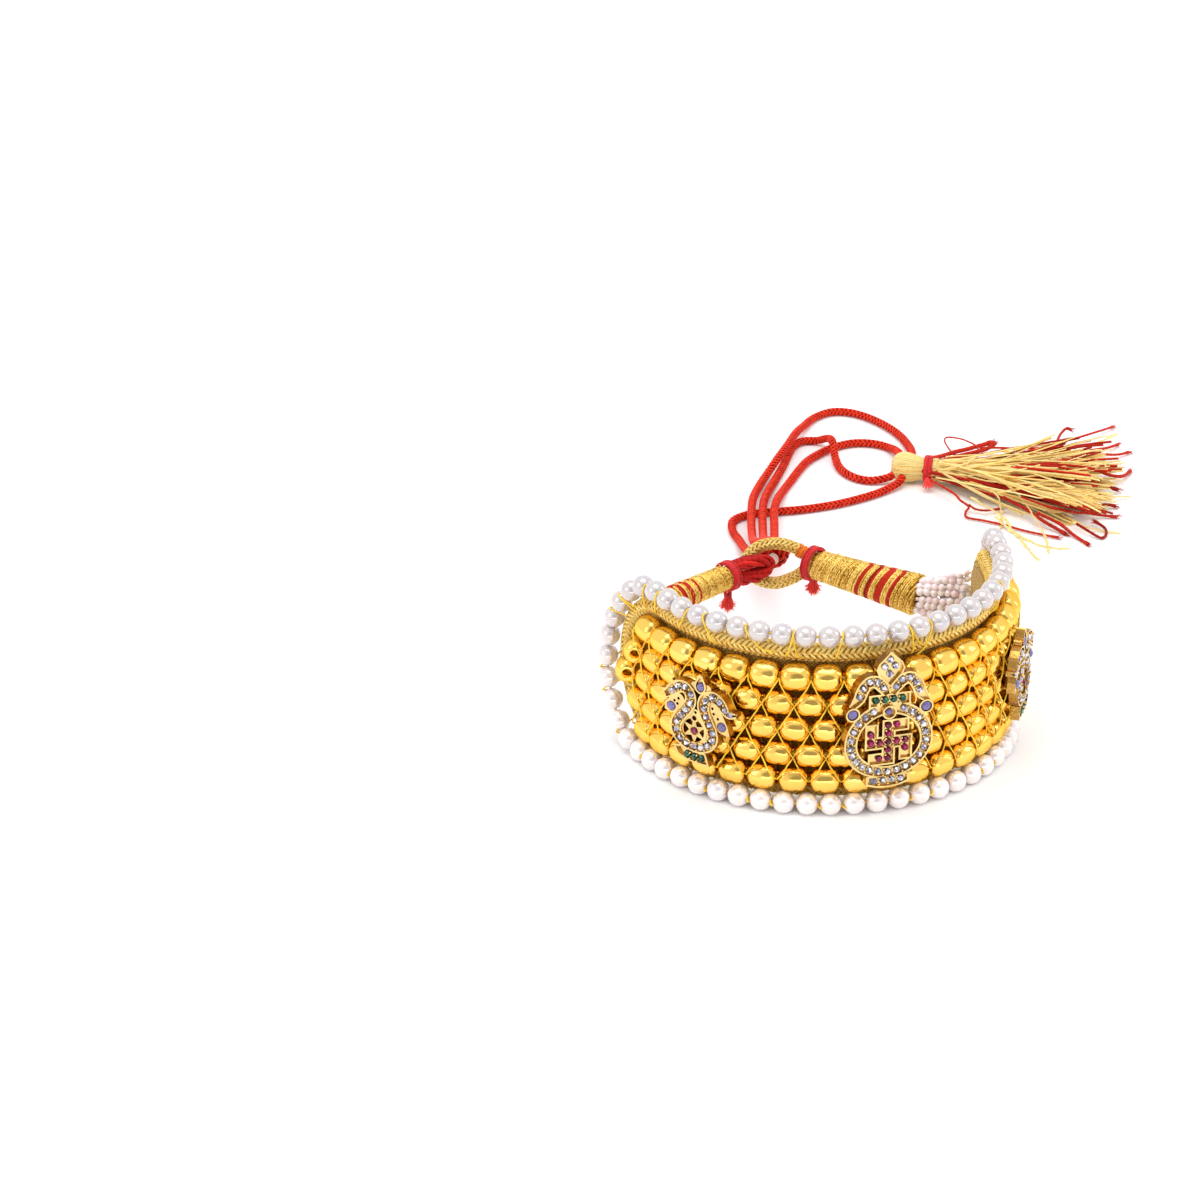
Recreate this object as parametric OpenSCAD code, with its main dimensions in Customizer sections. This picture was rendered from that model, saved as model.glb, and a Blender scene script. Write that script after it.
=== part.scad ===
// Pochi bracelet: five rows of gold barrel beads on a cloth band, edged with braided piping and pearls,
// three stone-set plaques, wound tails that meet in a closure, and drawcords that end in a tassel.

/* [Band] */
// Radius of the circle on which the beads' centres lie
bead_ring_r = 29.9; // [29:0.1:32]
// Thickness of the cloth behind the beads
cloth_t = 1.4; // [1:0.1:1.6]
// Height of the band's middle above the surface that it stands on
band_mid_z = 14; // [13.8:0.1:14.4]
// Height between one row of beads and the next
row_gap = 4.35; // [4.2:0.05:4.5]
// Turn from one bead of a row to the next, in degrees
bead_turn = 9.2; // [9.1:0.1:9.3]
// Turn from the middle of the band to the end of its straight edges, in degrees
edge_turn = 85; // [83:1:87]
// Extra turn that the round ends reach at mid height, in degrees
end_bulge = 15; // [15:0.5:17]

/* [Beads and pearls] */
// Diameter of the beads of the first and last rows
big_bead_d = 4.3; // [3.8:0.1:4.3]
// Length of the beads of the first and last rows
big_bead_l = 4.5; // [3.8:0.1:4.5]
// Diameter of the beads of the middle rows
small_bead_d = 4; // [3.4:0.05:4.1]
// Length of the beads of the middle rows
small_bead_l = 4.2; // [3.5:0.1:4.3]
// Diameter of the hole through a bead
bead_hole_d = 1.6; // [1.4:0.1:1.8]
// Diameter of the thread inside a row of beads
row_thread_d = 0.8; // [0.6:0.1:1]
// Diameter of a pearl
pearl_d = 3.3; // [2.9:0.1:3.3]
// Number of pearls round the whole edge
pearl_count = 70; // [60:2:72]
// Diameter of the piping round the band's edge
piping_d = 3; // [2.6:0.1:3]

/* [Plaques] */
// Thickness of a plaque with its raised rails
plaque_t = 1.5; // [1.3:0.1:1.6]
// Width of a raised rail
rail_w = 0.28; // [0.22:0.02:0.34]
// Depth of the channel between the rails
channel_depth = 0.5; // [0.4:0.05:0.6]
// Turn of the centre plaque from the middle of the band, in degrees
plaque_turn = -2; // [-3:0.5:3]
// Height of the centre of the pot above the surface
pot_z = 13; // [12.5:0.1:13.5]
// Turn of each peacock plaque from the middle of the band, in degrees
peacock_turn = 54; // [50:0.5:57]
// Height of a peacock's star above the surface
star_z = 12; // [11.6:0.1:12.5]
// Distance from one stone of the bent cross to the next
cross_pitch = 1.39; // [1.3:0.01:1.4]
// Radius of a small cut stone
stone_r = 0.58; // [0.5:0.02:0.6]

/* [Closure] */
// Height of the wound tails above the surface
tail_z = 15; // [14.5:0.1:15.5]
// Diameter of the gold cord in the closure loop
loop_cord_d = 2.2; // [2:0.1:2.2]
// Diameter of each leg of the red thread loop
thread_loop_d = 1.8; // [1.5:0.1:1.8]
// Diameter of a drawcord
drawcord_d = 1.5; // [1.3:0.1:1.5]

/* [Tassel] */
// Diameter of the tassel's head
tassel_head_d = 5.2; // [4.8:0.1:5.4]
// Length of the skirt from the red wrap to its longest tips
skirt_l = 36; // [30:1:40]
// Spread of the skirt to each side, in degrees
skirt_spread = 23; // [14:1:25]

/* [Hidden] */

$fn = 32;
gap = 0.1;
antique_gold = "#b8923a";
bright_gold = "#f0b323";
pale_gold = "#e6cf8c";
pearl_white = "#f1ecf0";
cord_red = "#d8261c";
tie_red = "#b51a20";
thread_yellow = "#efcf74";

// The cloth band
cloth_r = bead_ring_r - big_bead_d / 2 - gap;
flare_from = 80;
flare_rate = 0.006;
backing_low = 5.4;
backing_high = 23.6;
// Turn between the cloth's end and the middle of the piping, in degrees
backing_inset = 5.9;
piping_low_z = 2.55;
piping_high_z = 26;
piping_low_r = 27.1;
piping_high_r = 27.7;

// Pearls: centre of the string along the lower and upper edges
pearl_low_z = pearl_d / 2;
pearl_high_z = 29.2;
pearl_low_r = 31.2;
pearl_high_r = 29;
pearl_end_out = 0.5;
pearl_bulge = 17.8;
pearl_hole_r = 0.36;
pearl_thread_r = 0.2;

// Beads in each row, from the top row to the bottom row
row_beads = [19, 20, 21, 20, 19];
row_top_z = band_mid_z + 2 * row_gap;

// Plaques stand on the beads
plaque_back_r = bead_ring_r + big_bead_d / 2 + 0.15;
arm_half_w = 1.07;
stone_base = plaque_t - channel_depth + gap;
stone_h = 0.65;

// Ends of the wound tails: [x, y] at the seed strands and at the closure
tail_left_seed = [-17.5, 21.3];
tail_left_tip = [-6.2, 27];
tail_right_seed = [21.9, 10.1];
tail_right_tip = [10.1, 26.9];

seed_end_x = 28.5;
seed_end_y = 6;

// Routes of the four drawcords from the closure to the tassel, [x, y, z]
route_a = [[3.6, 34.2, 15.9], [3.8, 36.2, 15.8], [5, 42, 13.4], [7.1, 49, 10.2], [9.4, 56, 7.2],
    [11.8, 63, 4.9], [14.4, 70.5, 3.4], [16.8, 77, 2.8], [19.2, 83, 2.2], [22, 88.6, 1.4],
    [25.6, 94.2, 1.2], [29.4, 98.4, 2.4], [33.5, 103.6, 2.8], [37.4, 109.4, 2.5], [41, 115, 1.2],
    [45, 119.4, 0.8], [49.4, 121, 0.8], [53.2, 118.6, 0.8], [55.8, 113.2, 0.8], [57, 106.8, 0.8],
    [56.6, 100.2, 0.9], [54.9, 94.6, 1.6], [53, 90.6, 2.6]];
route_b = [[5.8, 34.2, 14], [6, 36.2, 13.9], [8, 42, 12], [10.8, 48.8, 9.2], [13.2, 55.5, 6.5],
    [15.7, 62.3, 4.6], [18.3, 69.3, 3.4], [20.6, 75.7, 2.8], [22.6, 80, 2.5], [24.8, 84.4, 1.6],
    [27.4, 88.8, 0.8], [30.3, 92.6, 0.8], [33.3, 96.6, 0.8], [36.4, 100.2, 0.8], [39.8, 102.8, 0.8],
    [43.4, 104.7, 0.8], [47.4, 105.4, 0.8], [50.9, 104, 0.8], [53, 100.9, 0.9], [52.8, 96.4, 1.8],
    [50.9, 91.2, 3.2]];
route_c = [[5.5, 34.2, 15.9], [5.7, 36.2, 15.8], [6.9, 42, 13.4], [9, 48.9, 10.2], [11.3, 55.8, 7.2],
    [13.7, 62.6, 4.9], [16.3, 69.9, 3.4], [18.7, 76.4, 2.8], [21.1, 82.2, 2.2], [24, 87.9, 1.3],
    [27.5, 93.6, 0.8], [31.1, 99.2, 0.8], [33.9, 103.9, 0.8], [36.2, 107.4, 0.8], [38.6, 109.2, 0.8],
    [41.3, 108.4, 0.9], [42.5, 105.8, 2.2], [42.2, 102.6, 2.6], [41.2, 98.6, 1.2], [40.7, 94.4, 0.8],
    [41.5, 90.4, 0.8], [43.8, 87.9, 0.8], [47, 87.2, 1.2]];
route_d = [[3.9, 34.2, 14], [4, 36.2, 13.9], [5.2, 42.5, 11.2], [6.8, 49.5, 8], [8.6, 56.5, 5],
    [10.4, 63.5, 2.6], [11.8, 69.6, 1.1], [12.3, 74.4, 0.8], [14, 78.6, 0.8], [17.8, 80.3, 0.8],
    [22.8, 79.9, 0.8], [28, 79.4, 0.8], [34, 79.7, 0.8], [39.5, 80.9, 0.8], [44, 82.5, 0.8],
    [48, 84.4, 1.2]];

// Middle lines of the two loops of the closure, [x, y, z]
gold_loop_line = [[9.98, 27.1, 16.15], [9.06, 28.4, 16.15], [7.4, 29.5, 17.2], [4.5, 30.6, 18.1],
    [1.2, 31.3, 17.6], [-0.9, 31.5, 15.2], [0.3, 30.9, 12.5], [3.3, 29.3, 11.6], [6.6, 28.7, 12.4],
    [9.06, 28.4, 13.85], [9.98, 27.1, 13.85]];
red_loop_line = [[-6.1, 27.05, 16], [-4.9, 27.65, 16], [-2.6, 28.4, 16.3], [0.6, 29.1, 16.2],
    [2.6, 30, 15], [0.6, 29.1, 13.8], [-2.6, 28.4, 13.7], [-4.9, 27.65, 14], [-6.1, 27.05, 14]];

// The tassel lies on the surface, pointing away from the cords
tassel_at = [50.4, 87.6, 2.75];
tassel_heading = -30;
head_r = tassel_head_d / 2;
neck_x = 4.6;
neck_r = 1.9;
lock_l = skirt_l + neck_x;

// Peacock's stone band from beak to tail: [across, up, width] at each bend
peacock_band = [[-5.2, 4.9, 1.3], [-4.3, 5.9, 1.9], [-3.1, 6.85, 2.1], [-1.75, 7.1, 2.1],
    [-0.75, 6.2, 2.1], [-0.65, 4.8, 2.1], [-1.45, 3.4, 2.1], [-2.5, 2.1, 2.1], [-3.2, 0.9, 2.1],
    [-3.35, -0.4, 2], [-2.8, -1.6, 1.9], [-1.6, -2.4, 1.8], [0, -2.7, 1.8], [1.5, -2.5, 1.8],
    [2.8, -1.7, 2], [3.5, -0.5, 2.1], [3.4, 0.8, 2.1], [2.8, 2, 2.1], [2.15, 3.2, 2.1], [1.75, 4.4, 2.2],
    [1.9, 5.6, 2.2], [2.7, 6.5, 2.1], [3.9, 6.75, 2.1], [5, 6.1, 2], [5.8, 5.1, 1.7], [6.6, 4.6, 1.2],
    [7.8, 4.9, 0.8]];
// Leaf of the centre plaque, from its root to its tip: [across, up, width]
leaf_band = [[0.45, 8.2, 1.3], [1.2, 9.55, 2], [2.2, 10.5, 2.1], [3.5, 10.5, 2.1], [4.45, 9.3, 2.1],
    [5, 7.9, 2], [6.2, 6.5, 1.1]];
// Right side of the drop on top of the centre plaque, between its two points: [across, up]
drop_side = [[1.1, 10.6], [1.95, 11.5], [2.35, 12.5], [1.9, 13.5], [0.95, 14.4]];
drop_low = 9.4;
drop_high = 15.4;

// Vector helpers
function unit(v) = v / norm(v);
function mix(a, b, t) = a + (b - a) * t;
function reversed(p) = [for (i = [len(p) - 1:-1:0]) p[i]];

// Smooth line through points, n steps from each to the next
function bend_point(a, b, c, d, t) = 0.5 * (2 * b + (c - a) * t + (2 * a - 5 * b + 4 * c - d) * t * t
    + (3 * b - a - 3 * c + d) * t * t * t);
function smooth(p, n) = concat([for (i = [0:len(p) - 2]) for (k = [0:n - 1])
    bend_point(p[max(i - 1, 0)], p[i], p[i + 1], p[min(i + 2, len(p) - 1)], k / n)], [p[len(p) - 1]]);

// A point on the band's curve: turn a, radius r, height z, with the ends flared outwards
function flare(a) = flare_rate * pow(max(0, abs(a) - flare_from), 2);
function place(a, r, z) = [(r + flare(a)) * sin(a), -(r + flare(a)) * cos(a), z];
function heading(a, r) = let (d = place(a + 1, r, 0) - place(a - 1, r, 0)) atan2(d[1], d[0]);
function backing_end(z) = edge_turn + (end_bulge - backing_inset) * sqrt(max(0,
    1 - pow((z - band_mid_z - 0.5) / 10.6, 2)));

// Closed line round the whole edge, from the top middle and back
function edge_line(low_r, high_r, low_z, high_z, bulge, out) = let (
        mid_z = (low_z + high_z) / 2,
        half_z = (high_z - low_z) / 2,
        right_end = [for (f = [78:-12:-78]) place(edge_turn + bulge * cos(f),
            mix(low_r, high_r, (1 + sin(f)) / 2) + out * cos(f), mid_z + half_z * sin(f))],
        top_right = [for (a = [0:6:edge_turn]) place(a, high_r, high_z)],
        low_right = [for (a = [84:-6:0]) place(a, low_r, low_z)],
        right_side = concat(top_right, right_end, low_right),
        left_side = [for (i = [len(right_side) - 2:-1:1])
            [-right_side[i][0], right_side[i][1], right_side[i][2]]]
    ) concat(right_side, left_side);

// Running length along a closed line, and the point at a length
function lengths(p) = [for (i = 0, s = 0; i <= len(p); i = i + 1,
    s = s + norm(p[i % len(p)] - p[(i - 1) % len(p)])) s];
function column(p, s, axis) = [for (i = [0:len(s) - 1]) [s[i], p[i % len(p)][axis]]];
function spaced(p, n) = let (s = lengths(p), x = column(p, s, 0), y = column(p, s, 1), z = column(p, s, 2),
    total = s[len(s) - 1]) [for (i = [0:n - 1]) let (d = (i + 0.5) * total / n)
    [lookup(d, x), lookup(d, y), lookup(d, z)]];

piping_line = spaced(edge_line(piping_low_r, piping_high_r, piping_low_z, piping_high_z, end_bulge, 0.8), 72);
pearl_line = spaced(edge_line(pearl_low_r, pearl_high_r, pearl_low_z, pearl_high_z, pearl_bulge,
    pearl_end_out), pearl_count);

// A round section across a line: c is its centre, t the line's direction, ref a direction off the line
function section(c, t, ref, rw, rh, sides) = let (s = unit(cross(t, ref)), w = cross(t, s))
    [for (k = [0:sides - 1]) c + s * rw * cos(360 * k / sides) + w * rh * sin(360 * k / sides)];
function along(p, i, closed) = closed
    ? unit(p[(i + 1) % len(p)] - p[(i + len(p) - 1) % len(p)])
    : unit(p[min(i + 1, len(p) - 1)] - p[max(i - 1, 0)]);

// Closed solid through a list of sections with the same number of points; a wall's ends are
// closed in strips from its outer to its inner face
module skin(rings, closed = false, wall = false) {
    m = len(rings);
    n = len(rings[0]);
    last = closed ? m - 1 : m - 2;
    sides = [for (i = [0:last]) for (k = [0:n - 1]) let (j = (i + 1) % m, l = (k + 1) % n)
        each [[i * n + k, j * n + k, j * n + l], [i * n + k, j * n + l, i * n + l]]];
    start = wall ? [for (k = [0:n / 2 - 2]) each [[k, k + 1, n - 1 - k], [k + 1, n - 2 - k, n - 1 - k]]]
        : [[for (k = [0:n - 1]) k]];
    caps = closed ? [] : concat(start, [for (f = start) [for (k = reversed(f)) (m - 1) * n + k]]);
    polyhedron([for (r = rings) each r], concat(sides, caps));
}

// Round tube along an open line
module tube(p, r, ref, sides) {
    skin([for (i = [0:len(p) - 1]) section(p[i], along(p, i, false), ref, r, r, sides)]);
}

// Round tube along the closed line of the edge, turned to face outwards all the way
module edge_tube(p, r, sides) {
    skin([for (i = [0:len(p) - 1]) section(p[i], along(p, i, true), [p[i][0], p[i][1], 0], r, r, sides)],
        closed = true);
}

// Barrel bead along Z with a round hole
module barrel(d, l) {
    r = d / 2;
    corner = 1;
    rotate_extrude() difference() {
        union() {
            translate([0, -l / 2 + corner]) square([r, l - 2 * corner]);
            translate([0, -l / 2]) square([r - corner, l]);
            for (s = [-1, 1]) translate([r - corner, s * (l / 2 - corner)]) circle(corner);
        }
        translate([-d, -l]) square([d + bead_hole_d / 2, 2 * l]);
    }
}

// One row of beads, numbered from the top
module bead_row(row) {
    n = row_beads[row];
    z = row_top_z - row * row_gap;
    big = row == 0 || row == 4;
    color(bright_gold) for (i = [0:n - 1]) {
        a = (i - (n - 1) / 2) * bead_turn;
        translate(place(a, bead_ring_r, z)) rotate([0, 0, heading(a, bead_ring_r)]) rotate([0, 90, 0])
            barrel(big ? big_bead_d : small_bead_d, big ? big_bead_l : small_bead_l);
    }
}

// Threads on which the five rows are strung
module row_threads() {
    color(thread_yellow) for (row = [0:4]) {
        reach = (row_beads[row] - 1) / 2 * bead_turn + 3.5;
        steps = row_beads[row] + 3;
        z = row_top_z - row * row_gap;
        tube([for (i = [0:steps]) place(-reach + 2 * reach * i / steps, bead_ring_r, z)], row_thread_d / 2,
            [0, 0, 1], 6);
    }
}

// Cloth wall behind the beads, with round ends that flare with the band
module band_backing() {
    layers = [for (i = [0:8]) mix(backing_low, backing_high, i / 8)];
    columns = 38;
    color(antique_gold) skin([for (i = [0:columns]) let (t = 2 * i / columns - 1) concat(
        [for (z = reversed(layers)) place(t * backing_end(z), cloth_r, z)],
        [for (z = layers) place(t * backing_end(z), cloth_r - cloth_t, z)])], wall = true);
}

// Braided piping round the whole edge
module edge_piping() {
    color(antique_gold) edge_tube(piping_line, piping_d / 2, 10);
}

// A drilled pearl; its hole runs along the direction t
module pearl(c, t) {
    translate(c) rotate([0, acos(t[2]), atan2(t[1], t[0])]) difference() {
        sphere(d = pearl_d);
        cylinder(h = 2 * pearl_d, r = pearl_hole_r, center = true, $fn = 16);
    }
}

// The pearls above or below the band's mid height
module pearls(upper) {
    color(pearl_white) for (i = [0:pearl_count - 1])
        if (upper == (pearl_line[i][2] > band_mid_z)) pearl(pearl_line[i], along(pearl_line, i, true));
}

// Thread through all the pearls, straight inside each of them
module pearl_thread() {
    mouth = pearl_d / 2 + 0.05;
    line = [for (i = [0:pearl_count - 1]) for (s = [-1, 1])
        pearl_line[i] + s * mouth * along(pearl_line, i, true)];
    color(thread_yellow) edge_tube(line, pearl_thread_r, 5);
}

// Flat outline of a band: its middle line p has [across, up, width], and inset narrows it
function ribbon(p, inset) = let (
        side = [for (i = [0:len(p) - 1]) let (t = unit([p[min(i + 1, len(p) - 1)][0] - p[max(i - 1, 0)][0],
            p[min(i + 1, len(p) - 1)][1] - p[max(i - 1, 0)][1]])) [-t[1], t[0]] * (p[i][2] / 2 - inset)],
        c = [for (q = p) [q[0], q[1]]]
    ) concat([for (i = [0:len(p) - 1]) c[i] + side[i]], reversed([for (i = [0:len(p) - 1]) c[i] - side[i]]));

// Pot outlines: an oval whose upper half is taller by lift
function pot_point(rx, ry, lift, a) = [rx * cos(a), ry * sin(a) + lift * max(0, sin(a))];
function pot_line(rx, ry, lift) = [for (i = [0:47]) pot_point(rx, ry, lift, i * 7.5)];

// Stand a flat shape drawn in XY on the beads at turn a and height z
module on_band(a, z) {
    rotate([0, 0, a]) translate([0, -plaque_back_r, z]) rotate([90, 0, 0]) children();
}

// Right-handed cross with bent arms; h is half the width of an arm
module bent_cross(h) {
    reach = 2 * cross_pitch;
    for (q = [0:3]) rotate(90 * q) {
        translate([-h, -h]) square([2 * h, reach + 2 * h]);
        translate([-h, reach - h]) square([1.18 * reach + 2 * h - arm_half_w, 2 * h]);
    }
}

// Solid areas of the centre plaque, each drawn inwards by inset
module centre_fields(inset) {
    difference() {
        polygon(pot_line(7.2 - inset, 6.15 - inset, 0.8));
        polygon(pot_line(5.1 + inset, 4.1 + inset, 0.7));
    }
    bent_cross(arm_half_w - inset);
    translate([-3.4 + inset, 6.1 + inset]) square([6.8 - 2 * inset, 2.2 - 2 * inset]);
    // Foot with a bowed lower edge
    polygon([[-3.45 + inset, -5.6 - inset], [-3.5 + inset, -7.15 + inset], [-1.8, -7.65 + inset],
        [0, -7.8 + inset], [1.8, -7.65 + inset], [3.5 - inset, -7.15 + inset], [3.45 - inset, -5.6 - inset]]);
    for (s = [-1, 1]) polygon([for (q = ribbon(smooth(leaf_band, 3), inset)) [s * q[0], q[1]]]);
    polygon([for (q = concat([[0, drop_low]], drop_side, [[0, drop_high]],
        reversed([for (d = drop_side) [-d[0], d[1]]]))) mix(q, [0, 12.1], inset / 2.5)]);
}
round_bezels = [[-5.95, 5.4], [5.95, 5.4], [0, 5.1]];

// Pot plaque: pierced plate with raised rails and channels for the stones
module centre_plaque() {
    color(pale_gold) on_band(plaque_turn, pot_z) difference() {
        union() {
            linear_extrude(plaque_t) centre_fields(0);
            for (b = round_bezels) translate([b[0], b[1], 0]) cylinder(h = plaque_t + 0.1, r = 1.15);
        }
        translate([0, 0, plaque_t - channel_depth]) linear_extrude(1) difference() {
            centre_fields(rail_w);
            for (b = round_bezels) translate(b) circle(1.15);
        }
        for (b = round_bezels) translate([b[0], b[1], plaque_t - channel_depth]) cylinder(h = 1, r = 0.9);
    }
}

// Places of the stones on the centre plaque: [across, up]
cross_stones = concat([for (i = [-2:2]) [i * cross_pitch, 0]],
    [for (i = [-2, -1, 1, 2]) [0, i * cross_pitch]], cross_pitch * [[1, 2], [2, -1], [-1, -2], [-2, 1]]);
bar_stones = [for (i = [-1.5:1.5]) [i * 1.43, 7.2]];
ring_stones = [for (i = [0:22]) pot_point(6.15, 5.12, 0.75, 114 + i * 14.18)];
foot_stones = [for (i = [-1.5:1.5]) [i * 1.45, -6.53]];
leaf_stones = [for (s = [-1, 1]) for (i = [1:5]) [s * smooth(leaf_band, 5)[i * 5 - 1][0],
    smooth(leaf_band, 5)[i * 5 - 1][1]]];
drop_stones = [[0, 13.9], [-0.85, 12.75], [0.85, 12.75], [0, 11.5]];

// Peacock plaque, drawn with its star at the middle and its head to the left
peacock_middle = 0.85;
peacock_purples = [[-4.35, 3.1], [5.1, 2.1], [1.15, 7.85]];
peacock_greens = [[-1.2, -4.26], [0.1, -4.38], [1.4, -4.42]];
module peacock_plate(inset) {
    polygon(ribbon(smooth(peacock_band, 3), inset));
    // Beak
    polygon([[-6.2 + 2 * inset, 5.9 - 2 * inset], [-5.3 + inset / 2, 4 + 2 * inset], [-4.6, 4.9],
        [-5, 6 - inset]]);
    // Leaf on top
    polygon([for (i = [0:23]) [1.15 + (1.05 - inset) * cos(15 * i),
        8 + (1.25 - inset) * sin(15 * i) + (0.8 - inset) * pow(max(0, sin(15 * i)), 5)]]);
    // Leaf under the body
    polygon([[-3.6 + inset, -3.2 - inset], [-3 + inset, -4.6 + inset / 2], [-1, -5.3 + inset],
        [1, -5.45 + inset], [3 - 1.5 * inset, -5.35 + inset], [2.3 - inset, -3.3 - inset],
        [0, -3.3 - inset], [-2.2, -2.9 - inset]]);
}
module peacock_lobes() {
    hull() {
        translate([-3.1, 4.5]) circle(1.2);
        translate([-4.35, 3.1]) circle(1.15);
        translate([-5.3, 2.5]) circle(0.3);
    }
    hull() {
        translate([3.7, 4.4]) circle(1.2);
        translate([5.1, 2.1]) circle(1.1);
        translate([6.3, 1]) circle(0.25);
    }
    translate([-0.1, 0.1]) circle(2.4);
    translate([0, 2.3]) circle(1.5);
    for (x = [0.05, 2.35]) translate([x, 7.75]) circle(0.75);
}
function star_point(i) = (i % 2 == 0 ? 2.3 : 0.95) * [cos(30 * i + 90), sin(30 * i + 90)];
module peacock() {
    difference() {
        union() {
            linear_extrude(plaque_t) peacock_plate(0);
            linear_extrude(plaque_t - 0.2) peacock_lobes();
        }
        translate([0, 0, plaque_t - channel_depth]) linear_extrude(1) peacock_plate(rail_w);
        // Gaps between the star and its drop-shaped frame, and inside the small ring above it
        translate([0, 0, -1]) linear_extrude(4) {
            difference() {
                translate([-0.1, 0.1]) circle(1.95);
                polygon([for (i = [0:11]) star_point(i)]);
                translate([0, 2.2]) circle(0.72);
            }
            translate([0, 2.2]) circle(0.42);
            translate([0.22, 3.25]) circle(0.24, $fn = 16);
        }
        translate([0, 0, plaque_t - channel_depth]) cylinder(h = 1, r = 0.72);
        for (s = [[-3.75, 4.2], [-3, 4.75], [-3.2, 3.8], [3.35, 4.8], [3.6, 3.95], [4.4, 3.3]])
            translate([s[0], s[1], -1]) cylinder(h = 4, r = 0.24, $fn = 16);
        for (i = [0, 1]) translate([peacock_purples[i][0], peacock_purples[i][1], plaque_t - channel_depth])
            cylinder(h = 1, r = 0.85);
    }
}
module on_peacock(side) {
    on_band(side * peacock_turn, star_z) mirror([side > 0 ? 1 : 0, 0, 0]) translate([-peacock_middle, 0, 0])
        children();
}

// Cut stone with eight facets round its table
module cut_stone(r) {
    skin([for (s = [[r, 0], [r, 0.4], [0.6 * r, 1]]) [for (k = [0:7]) [s[0] * cos(45 * k + 22.5),
        s[0] * sin(45 * k + 22.5), s[1] * stone_h]]]);
}
module stones(places, r) {
    for (p = places) translate([p[0], p[1], stone_base]) cut_stone(r);
}
module ruby_stones() {
    color("#a3164f") {
        on_band(plaque_turn, pot_z) stones(cross_stones, stone_r);
        for (side = [-1, 1]) on_peacock(side) stones([[0, 0]], stone_r);
    }
}
module green_stones() {
    color("#0b6b45") {
        on_band(plaque_turn, pot_z) stones(bar_stones, stone_r);
        for (side = [-1, 1]) on_peacock(side) stones(peacock_greens, stone_r);
    }
}
module purple_stones() {
    color("#6d5bb0") {
        on_band(plaque_turn, pot_z) stones(round_bezels, 0.76);
        for (side = [-1, 1]) on_peacock(side) stones(peacock_purples, 0.66);
    }
}
module clear_stones() {
    color("#dcdcea") on_band(plaque_turn, pot_z)
        stones(concat(ring_stones, foot_stones, leaf_stones, drop_stones), stone_r);
}

// Fan of seed-pearl strands from an end of the band, one thick bundle that meets its tail squarely
module seed_strands(side, tail_end, tail_tip, tail_r) {
    tail_way = unit([tail_tip[0] - tail_end[0], tail_tip[1] - tail_end[1], 0]);
    from = [side * seed_end_x, seed_end_y, band_mid_z + 0.5];
    to = [tail_end[0], tail_end[1], tail_z] - tail_way * gap;
    steps = 7;
    color(pearl_white) skin([for (i = [0:steps]) let (t = i / steps) section(mix(from, to, t),
        unit(mix(unit(to - from), tail_way, t)), [0, 0, 1], mix(1.3, tail_r, t),
        mix(6.2, tail_r, sqrt(t)), 12)]);
}

// Tail wound with gold thread, between two points, with round shoulders
module tail(from, to, r_from, r_to) {
    l = norm(to - from);
    color(antique_gold) translate([from[0], from[1], tail_z])
        rotate([0, 90, atan2(to[1] - from[1], to[0] - from[0])]) rotate_extrude()
        polygon([[0, 0], [r_from - 0.4, 0], [r_from, 0.4], [mix(r_from, r_to, 0.6), l * 0.5], [r_to, l - 0.4],
            [r_to - 0.4, l], [0, l]]);
}

// Ring of red thread tied round the neck of a tail, with the tuft of its cut ends below
module tie(from, to, reach, inner_r, wall) {
    d = unit(to - from);
    c = to + d * (reach / 2 + gap);
    color(tie_red) translate([c[0], c[1], tail_z]) {
        rotate([0, 90, atan2(d[1], d[0])]) rotate_extrude()
            translate([inner_r, -reach / 2]) square([wall, reach]);
        translate([0, 0, -inner_r - wall - 2.3]) cylinder(h = 2.5, r1 = 1, r2 = 0.5, $fn = 16);
    }
}

// Braided gold loop of the right tail and red thread loop of the left tail
module closure_loop() {
    color(antique_gold) tube(smooth(gold_loop_line, 3), loop_cord_d / 2, [0.3, 0.95, 0], 10);
}
module thread_loop() {
    color(tie_red) tube(smooth(red_loop_line, 3), thread_loop_d / 2, [-0.3, 0.95, 0], 8);
}

// Place behind the two loops where the drawcords are hitched through them
module cord_hitch() {
    color(cord_red) hull() for (x = [3.6, 5.9], z = [14.1, 15.8]) translate([x, 31.7, z]) rotate([-90, 0, 0])
        cylinder(h = 2.4, r = 0.95);
}

module drawcord(route) {
    color(cord_red) tube(route, drawcord_d / 2, [0, 0, 1], 8);
}

// One lock of the skirt: side turns it, lift raises its tip, l is its length
module lock(side, lift, l) {
    steps = 5;
    skin([for (i = [0:steps]) let (t = i / steps, end = i == steps ? 0.65 : 1) section(
        [mix(neck_x - 0.8, l * cos(side), t), l * sin(side) * pow(t, 1.25), lift * pow(t, 1.15)],
        [1, 0, 0], [0, 0, 1], mix(1.3, 2.1, t) * end, 1.15 * end, 8)]);
}
module on_tassel() {
    translate(tassel_at) rotate([0, 0, tassel_heading]) children();
}
module tassel() {
    color(thread_yellow) on_tassel() union() {
        skin([for (s = [[-head_r, 0.4 * head_r], [-0.85 * head_r, 0.73 * head_r], [-0.4 * head_r, head_r],
            [0.23 * head_r, head_r], [0.92 * head_r, 0.83 * head_r], [neck_x, neck_r], [7, 2.1]])
            section([s[0], 0, 0], [1, 0, 0], [0, 0, 1], s[1], s[1], 12)]);
        for (i = [-2:2]) lock(i * skirt_spread / 2.1, -1.55, lock_l - 1.5 * abs(i));
        for (i = [-1.5:1.5]) lock(i * skirt_spread / 2.4, 1.2, lock_l - 0.8);
        for (i = [-1:1]) lock(i * skirt_spread / 3, 3.6, lock_l - 2.4 - abs(i));
    }
}
module tassel_wrap() {
    color(tie_red) on_tassel() translate([neck_x - 0.8, 0, 0]) rotate([0, 90, 0]) rotate_extrude()
        translate([neck_r + 0.25, 0]) square([0.3, 1.5]);
}

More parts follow.
